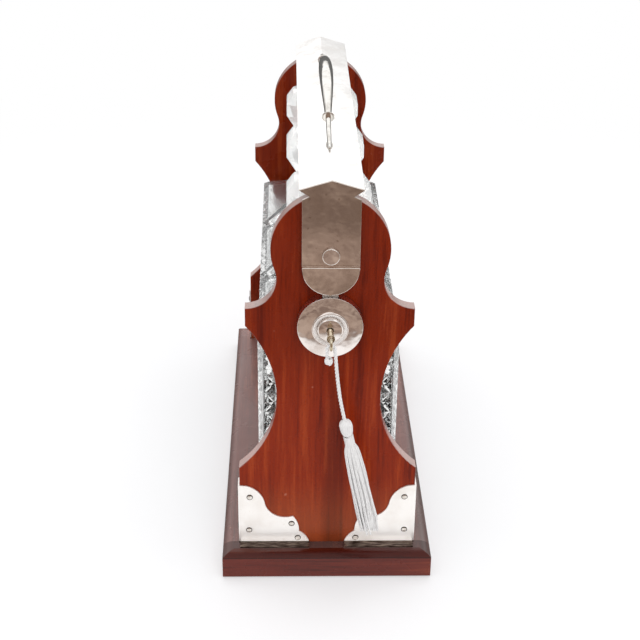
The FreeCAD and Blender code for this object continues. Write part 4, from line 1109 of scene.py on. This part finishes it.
def hasp_finish():
    """Silver plate, darker above the button, and rough on the tongue, whose colour is whitened there as a
    painted highlight.
    """
    finish = silver_plate(
        "hasp_plate_finish", tint(234, 224, 216), tint(170, 150, 136), (0.10, 0.22), 42.0, 0.0004)
    shader, place = opened(finish)
    height = split(place)[2]
    tongue = height < tongue_top
    # Painted highlight: the tongue's colour is whitened so that it looks bright down in its slot.
    lay_over(shader["Base Color"], tongue, tint(255, 254, 252))
    feed(shader["Roughness"], worked("MAXIMUM", fed(shader["Roughness"]), tongue * 0.8))
    # Darker towards the top, above the button.
    upper = eased(height, (button_top, button_top + darkening_rise), (0.0, 0.34))
    lay_over(shader["Base Color"], upper, tint(120, 106, 94))
    return finish


hasp_plate_finish = hasp_finish()
dressed("hasp_plate", hasp_plate_finish, "bar", hasp_round)
dressed("hasp_front_plate", hasp_plate_finish, "bar", front_plate_round)
dressed("push_button", lock_plate, "button", button_round)


# Handle
# Cast and plated, in the shape of two swan necks: a grip that swells to the middle, a collar at each
# end of it and slender arms that run down to the ridge, where a foot takes a screw from below.
ridge_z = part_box("bar_cover")[1].z
handle_half = 0.118
handle_rise = 0.0205
handle_power = 1.25
handle_sides = 40
handle_steps = 100
tip_radius = 0.0015
tip_steps = 5
arm_radius = 0.0020
neck_radius = 0.0023
grip_radius = 0.0056
collar_share = 0.63
collar_radius = 0.0046
collar_half = 0.0006
collar_room = 0.012
collar_steps = 8
foot_share = 0.93
foot_radius = 0.0024
foot_sink = 0.0005
foot_sides = 24


def handle_point(share):
    """Middle of the handle and the way it runs, from one tip (-1) to the other (1)."""
    across = abs(share)
    turn = math.pi * across ** handle_power
    z = ridge_z + tip_radius + handle_rise * (1 + math.cos(turn)) / 2
    steep = math.pi * handle_power * across ** (handle_power - 1)
    slope = -handle_rise / 2 * math.sin(turn) * steep / handle_half
    way = Vector((1, 0, math.copysign(slope, slope * share))).normalized()
    return Vector((handle_half * share, 0, z)), way


def handle_radius(share):
    """Radius of the grip or of the arm."""
    across = abs(share)
    if across < collar_share:
        return neck_radius + (grip_radius - neck_radius) * math.cos(math.pi / 2 * across / collar_share)
    return arm_radius + (tip_radius - arm_radius) * (across - collar_share) / (1 - collar_share)


def handle_stations():
    """The rings of the handle in order: share of the half length, offset along it, radius."""
    stations = []
    for step in range(-handle_steps, handle_steps + 1):
        share = step / handle_steps
        if abs(abs(share) - collar_share) > collar_room:
            stations.append((share, 0.0, handle_radius(share)))
    for side in (-1, 1):
        inner, outer = (neck_radius, arm_radius) if side > 0 else (arm_radius, neck_radius)
        stations.append((side * collar_share, -collar_half, inner))
        for step in range(collar_steps + 1):
            angle = math.pi * (1 - step / collar_steps)
            swell = collar_radius - collar_half + math.sin(angle) * collar_half
            stations.append((side * collar_share, math.cos(angle) * collar_half, swell))
        stations.append((side * collar_share, collar_half, outer))
    stations.sort(key=lambda station: station[0] * handle_half + station[1])
    angles = [math.pi / 2 * step / tip_steps for step in range(1, tip_steps + 1)]
    ends = [(tip_radius * math.sin(angle), tip_radius * math.cos(angle)) for angle in angles]
    first = [(-1, -offset, radius) for offset, radius in reversed(ends)]
    return first + stations + [(1, offset, radius) for offset, radius in ends]


def make_handle(finish):
    """One skin from tip to tip, with a rounded bead at each collar, and its two feet."""
    shape = bmesh.new()
    rings = []
    for share, offset, radius in handle_stations():
        middle, way = handle_point(share)
        up = Vector((-way.z, 0, way.x))
        rings.append(add_ring(shape, middle + way * offset, up, Vector((0, 1, 0)), radius, handle_sides))
    for first, second in zip(rings, rings[1:]):
        join_rings(shape, first, second)
    for side in (-1, 1):
        middle = handle_point(side * foot_share)[0]
        add_tube(shape, [Vector((middle.x, 0, ridge_z - foot_sink)), middle], foot_radius, foot_sides)
    return mesh_piece("handle_cast", closed_up(shape), finish)


handle_plate = silver_plate("handle_plate", tint(234, 231, 226), tint(176, 170, 160), (0.06, 0.16), 80.0)
stand_in(make_handle(handle_plate), "handle", "bar")


# Decanters
# Square bottles of heavy lead glass, blown in a mould, then cut on every side with a field of diamonds
# and polished. The neck is eight-sided, and its mouth is ground to take the stopper.
decanter_boxes = [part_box("decanter_%d" % number) for number in (1, 2, 3)]
glass_floor = decanter_boxes[0][0].z
glass_half = (decanter_boxes[0][1].x - decanter_boxes[0][0].x) / 2
glass_sharp = math.radians(10)
glass_wall = 0.0065
corner_cut = 0.0036
foot_chamfer = 0.003
bottom_thickness = 0.012
side_top = glass_floor + 0.1739
chamfer_top = side_top + 0.005
shoulder_top = chamfer_top + 0.012
top_half = glass_half - 0.010
neck_half = 0.0175
lip_half = 0.0215
lip_top = glass_floor + 0.2405
lip_low = lip_top - 0.007
neck_top = lip_low - 0.006
bore_radius = 0.012
stem_low_radius = 0.0104
stem_low = lip_top - 0.026
bore_sides = 40
bores_per_side = bore_sides // 8
field_margin = 0.0008
field_low = glass_floor + 0.009
field_high = glass_floor + 0.1434
field_columns = 12
field_rows = 16
groove_depth = 0.0032
upper_low = field_high + 0.004
upper_high = side_top - 0.003
upper_columns = 20
upper_rows = 5
upper_depth = 0.0012
field_gap_z = (field_high + upper_low) / 2
rubbed_rise = 0.008


def corner_distance(half):
    """How far a corner flat lies from the middle of a square with its corners cut off."""
    return half * math.sqrt(2) - corner_cut / math.sqrt(2)


straight = corner_distance(glass_half) * math.sqrt(2) - glass_half
field_half = straight - field_margin


def ring_at(shape, z, half, corner=None):
    """Eight corners: four flats at half from the middle, and four corner flats at corner from it."""
    reach = (corner or corner_distance(half)) * math.sqrt(2) - half
    ring = []
    for quarter in range(4):
        turn = math.pi / 2 * quarter
        for v in (-reach, reach):
            ring.append(shape.verts.new((half * math.cos(turn) - v * math.sin(turn),
                                         half * math.sin(turn) + v * math.cos(turn), z)))
    return ring


def bore_at(shape, z, radius):
    """A round of points for the bore, turned half a step from the flats."""
    angles = [2 * math.pi * (side + 0.5) / bore_sides for side in range(bore_sides)]
    return [shape.verts.new((radius * math.cos(angle), radius * math.sin(angle), z)) for angle in angles]


def bore_stretch(ring, index):
    """The points of the bore that face one of eight sides."""
    start = index * bores_per_side - bores_per_side // 2 - 1
    return [ring[(start + step) % bore_sides] for step in range(bores_per_side + 1)]


def cut_field(shape, turn, low, high, columns, rows, depth, bottom, top):
    """A field of cut diamonds on one side, with the plain glass round it from bottom to top."""
    def on_side(across, up, inward=0.0):
        return shape.verts.new(turn @ Vector((glass_half - inward, across, up)))

    def spot(row, column):
        return -field_half + 2 * field_half * column / columns, low + (high - low) * row / rows

    def sunk(row, column):
        return (row + column) % 2 == 0

    grid = [[on_side(*spot(row, column), depth if sunk(row, column) else 0.0) for column in range(columns + 1)]
            for row in range(rows + 1)]
    for row in range(rows):
        for column in range(columns):
            a, b = grid[row][column], grid[row][column + 1]
            c, d = grid[row + 1][column + 1], grid[row + 1][column]
            for triangle in ((a, b, c), (a, c, d)) if sunk(row, column) else ((a, b, d), (b, c, d)):
                shape.faces.new(triangle)
    edge = [(row, 0) for row in range(rows, 0, -1)] + [(0, column) for column in range(columns)]
    edge += [(row, columns) for row in range(rows)] + [(rows, column) for column in range(columns, 0, -1)]
    rim = [on_side(*spot(*place)) if sunk(*place) else grid[place[0]][place[1]] for place in edge]
    for index, place in enumerate(edge):
        after = (index + 1) % len(edge)
        here, following = grid[place[0]][place[1]], grid[edge[after][0]][edge[after][1]]
        shape.faces.new((here, following, rim[index] if sunk(*place) else rim[after]))
    corners = [on_side(-straight, top), on_side(-straight, bottom), on_side(straight, bottom),
               on_side(straight, top)]
    breaks = [0, rows, rows + columns, 2 * rows + columns, len(edge)]
    for side in range(4):
        inner = [rim[index % len(edge)] for index in range(breaks[side], breaks[side + 1] + 1)]
        shape.faces.new([corners[side], corners[(side + 1) % 4]] + list(reversed(inner)))


def make_decanter(name, middle_x):
    """One bottle as a single closed skin: outside, mouth, bore and inside."""
    shape = bmesh.new()
    foot = ring_at(shape, glass_floor, glass_half - foot_chamfer)
    low = ring_at(shape, glass_floor + foot_chamfer, glass_half)
    high = ring_at(shape, side_top, glass_half)
    shape.faces.new(list(reversed(foot)))
    join_rings(shape, foot, low)
    for quarter in range(4):
        turn = Matrix.Rotation(math.pi / 2 * quarter, 4, "Z")
        after = Matrix.Rotation(math.pi / 2 * (quarter + 1), 4, "Z")
        cut_field(shape, turn, field_low, field_high, field_columns, field_rows, groove_depth,
                  glass_floor + foot_chamfer, field_gap_z)
        cut_field(shape, turn, upper_low, upper_high, upper_columns, upper_rows, upper_depth,
                  field_gap_z, side_top)
        first, second = 2 * quarter + 1, (2 * quarter + 2) % 8
        near = shape.verts.new(turn @ Vector((glass_half, straight, field_gap_z)))
        far = shape.verts.new(after @ Vector((glass_half, -straight, field_gap_z)))
        for flat in ((low[first], low[second], far, near), (near, far, high[second], high[first])):
            shape.faces.new(flat).material_index = 1
    outside = [ring_at(shape, chamfer_top, top_half)]
    for z, half in ((shoulder_top, neck_half), (neck_top, neck_half), (lip_low, lip_half), (lip_top, lip_half)):
        outside.append(ring_at(shape, z, half, half))
    bores = [bore_at(shape, lip_top, bore_radius), bore_at(shape, stem_low, stem_low_radius),
             bore_at(shape, shoulder_top - glass_wall, stem_low_radius)]
    inside = [ring_at(shape, glass_floor + bottom_thickness, glass_half - glass_wall),
              ring_at(shape, side_top - glass_wall / 2, glass_half - glass_wall),
              ring_at(shape, chamfer_top - glass_wall / 2, top_half - glass_wall)]
    shape.faces.new(inside[0])
    for lower, upper in (*zip([high] + outside, outside), (bores[1], bores[0]), (bores[2], bores[1]),
                         (inside[1], inside[0]), (inside[2], inside[1])):
        join_rings(shape, lower, upper)
    lip, throat = outside[-1], inside[-1]
    for index in range(8):
        ahead = (index + 1) % 8
        shape.faces.new([lip[index], lip[ahead]] + list(reversed(bore_stretch(bores[0], index))))
        shape.faces.new([throat[index]] + bore_stretch(bores[2], index) + [throat[ahead]])
    closed_up(shape)
    bmesh.ops.translate(shape, verts=shape.verts, vec=(middle_x, 0, 0))
    piece = mesh_piece(name, shape, clear_glass, glass_sharp)
    piece.data.materials.append(corner_glass)
    return piece


def lead_glass(name, colour, clear_share, soft_from, soft, glow=0.0):
    """Clear heavy glass with the faint waves that hand polishing leaves, rubbed softer above a height. Glow is
    a painted glow: light that the glass gives off of its own.
    """
    values = {"Base Color": colour, "IOR": 1.54, "Transmission Weight": clear_share}
    # Painted glow: a faint emission that makes the glass look lit.
    if glow:
        values.update({"Emission Color": (0.97, 1.0, 0.99, 1.0), "Emission Strength": glow})
    finish, shader, place = new_finish(name, values)
    waves = noise(place, 120.0, 2.0)
    feed(shader["Normal"], bumped(waves, 0.05, 0.0003))
    rubbed = eased(split(place)[2], (soft_from, soft_from + rubbed_rise), (0.0, soft))
    feed(shader["Roughness"], eased(waves, (0.4, 0.8), (0.0, 0.04)) + rubbed)
    return finish


clear_glass = lead_glass("lead_glass", (0.975, 0.985, 0.985, 1.0), 0.97, side_top - 0.004, 0.14)
# The corner flats and the stoppers have a painted glow of their own.
corner_glass = lead_glass("corner_glass", white, 0.80, -1.0, 0.13, 0.10)
knob_glass = lead_glass("knob_glass", white, 0.74, lip_top - 0.030, 0.12, 0.10)
for number, (low, high) in enumerate(decanter_boxes, start=1):
    decanter = make_decanter("decanter_cut_%d" % number, (low.x + high.x) / 2)
    stand_in(decanter, "decanter_%d" % number, "decanter_" + "abc"[number - 1])


# Stoppers
# Solid eight-sided knobs of the same glass, cut in flat facets, on a ground stem that fits the mouth.
stopper_round = 0.0006
for number in (1, 2, 3):
    body = "stopper_" + "abc"[number - 1]
    dressed("stopper_%d" % number, knob_glass, body, stopper_round, "stopper_cut_%d" % number)
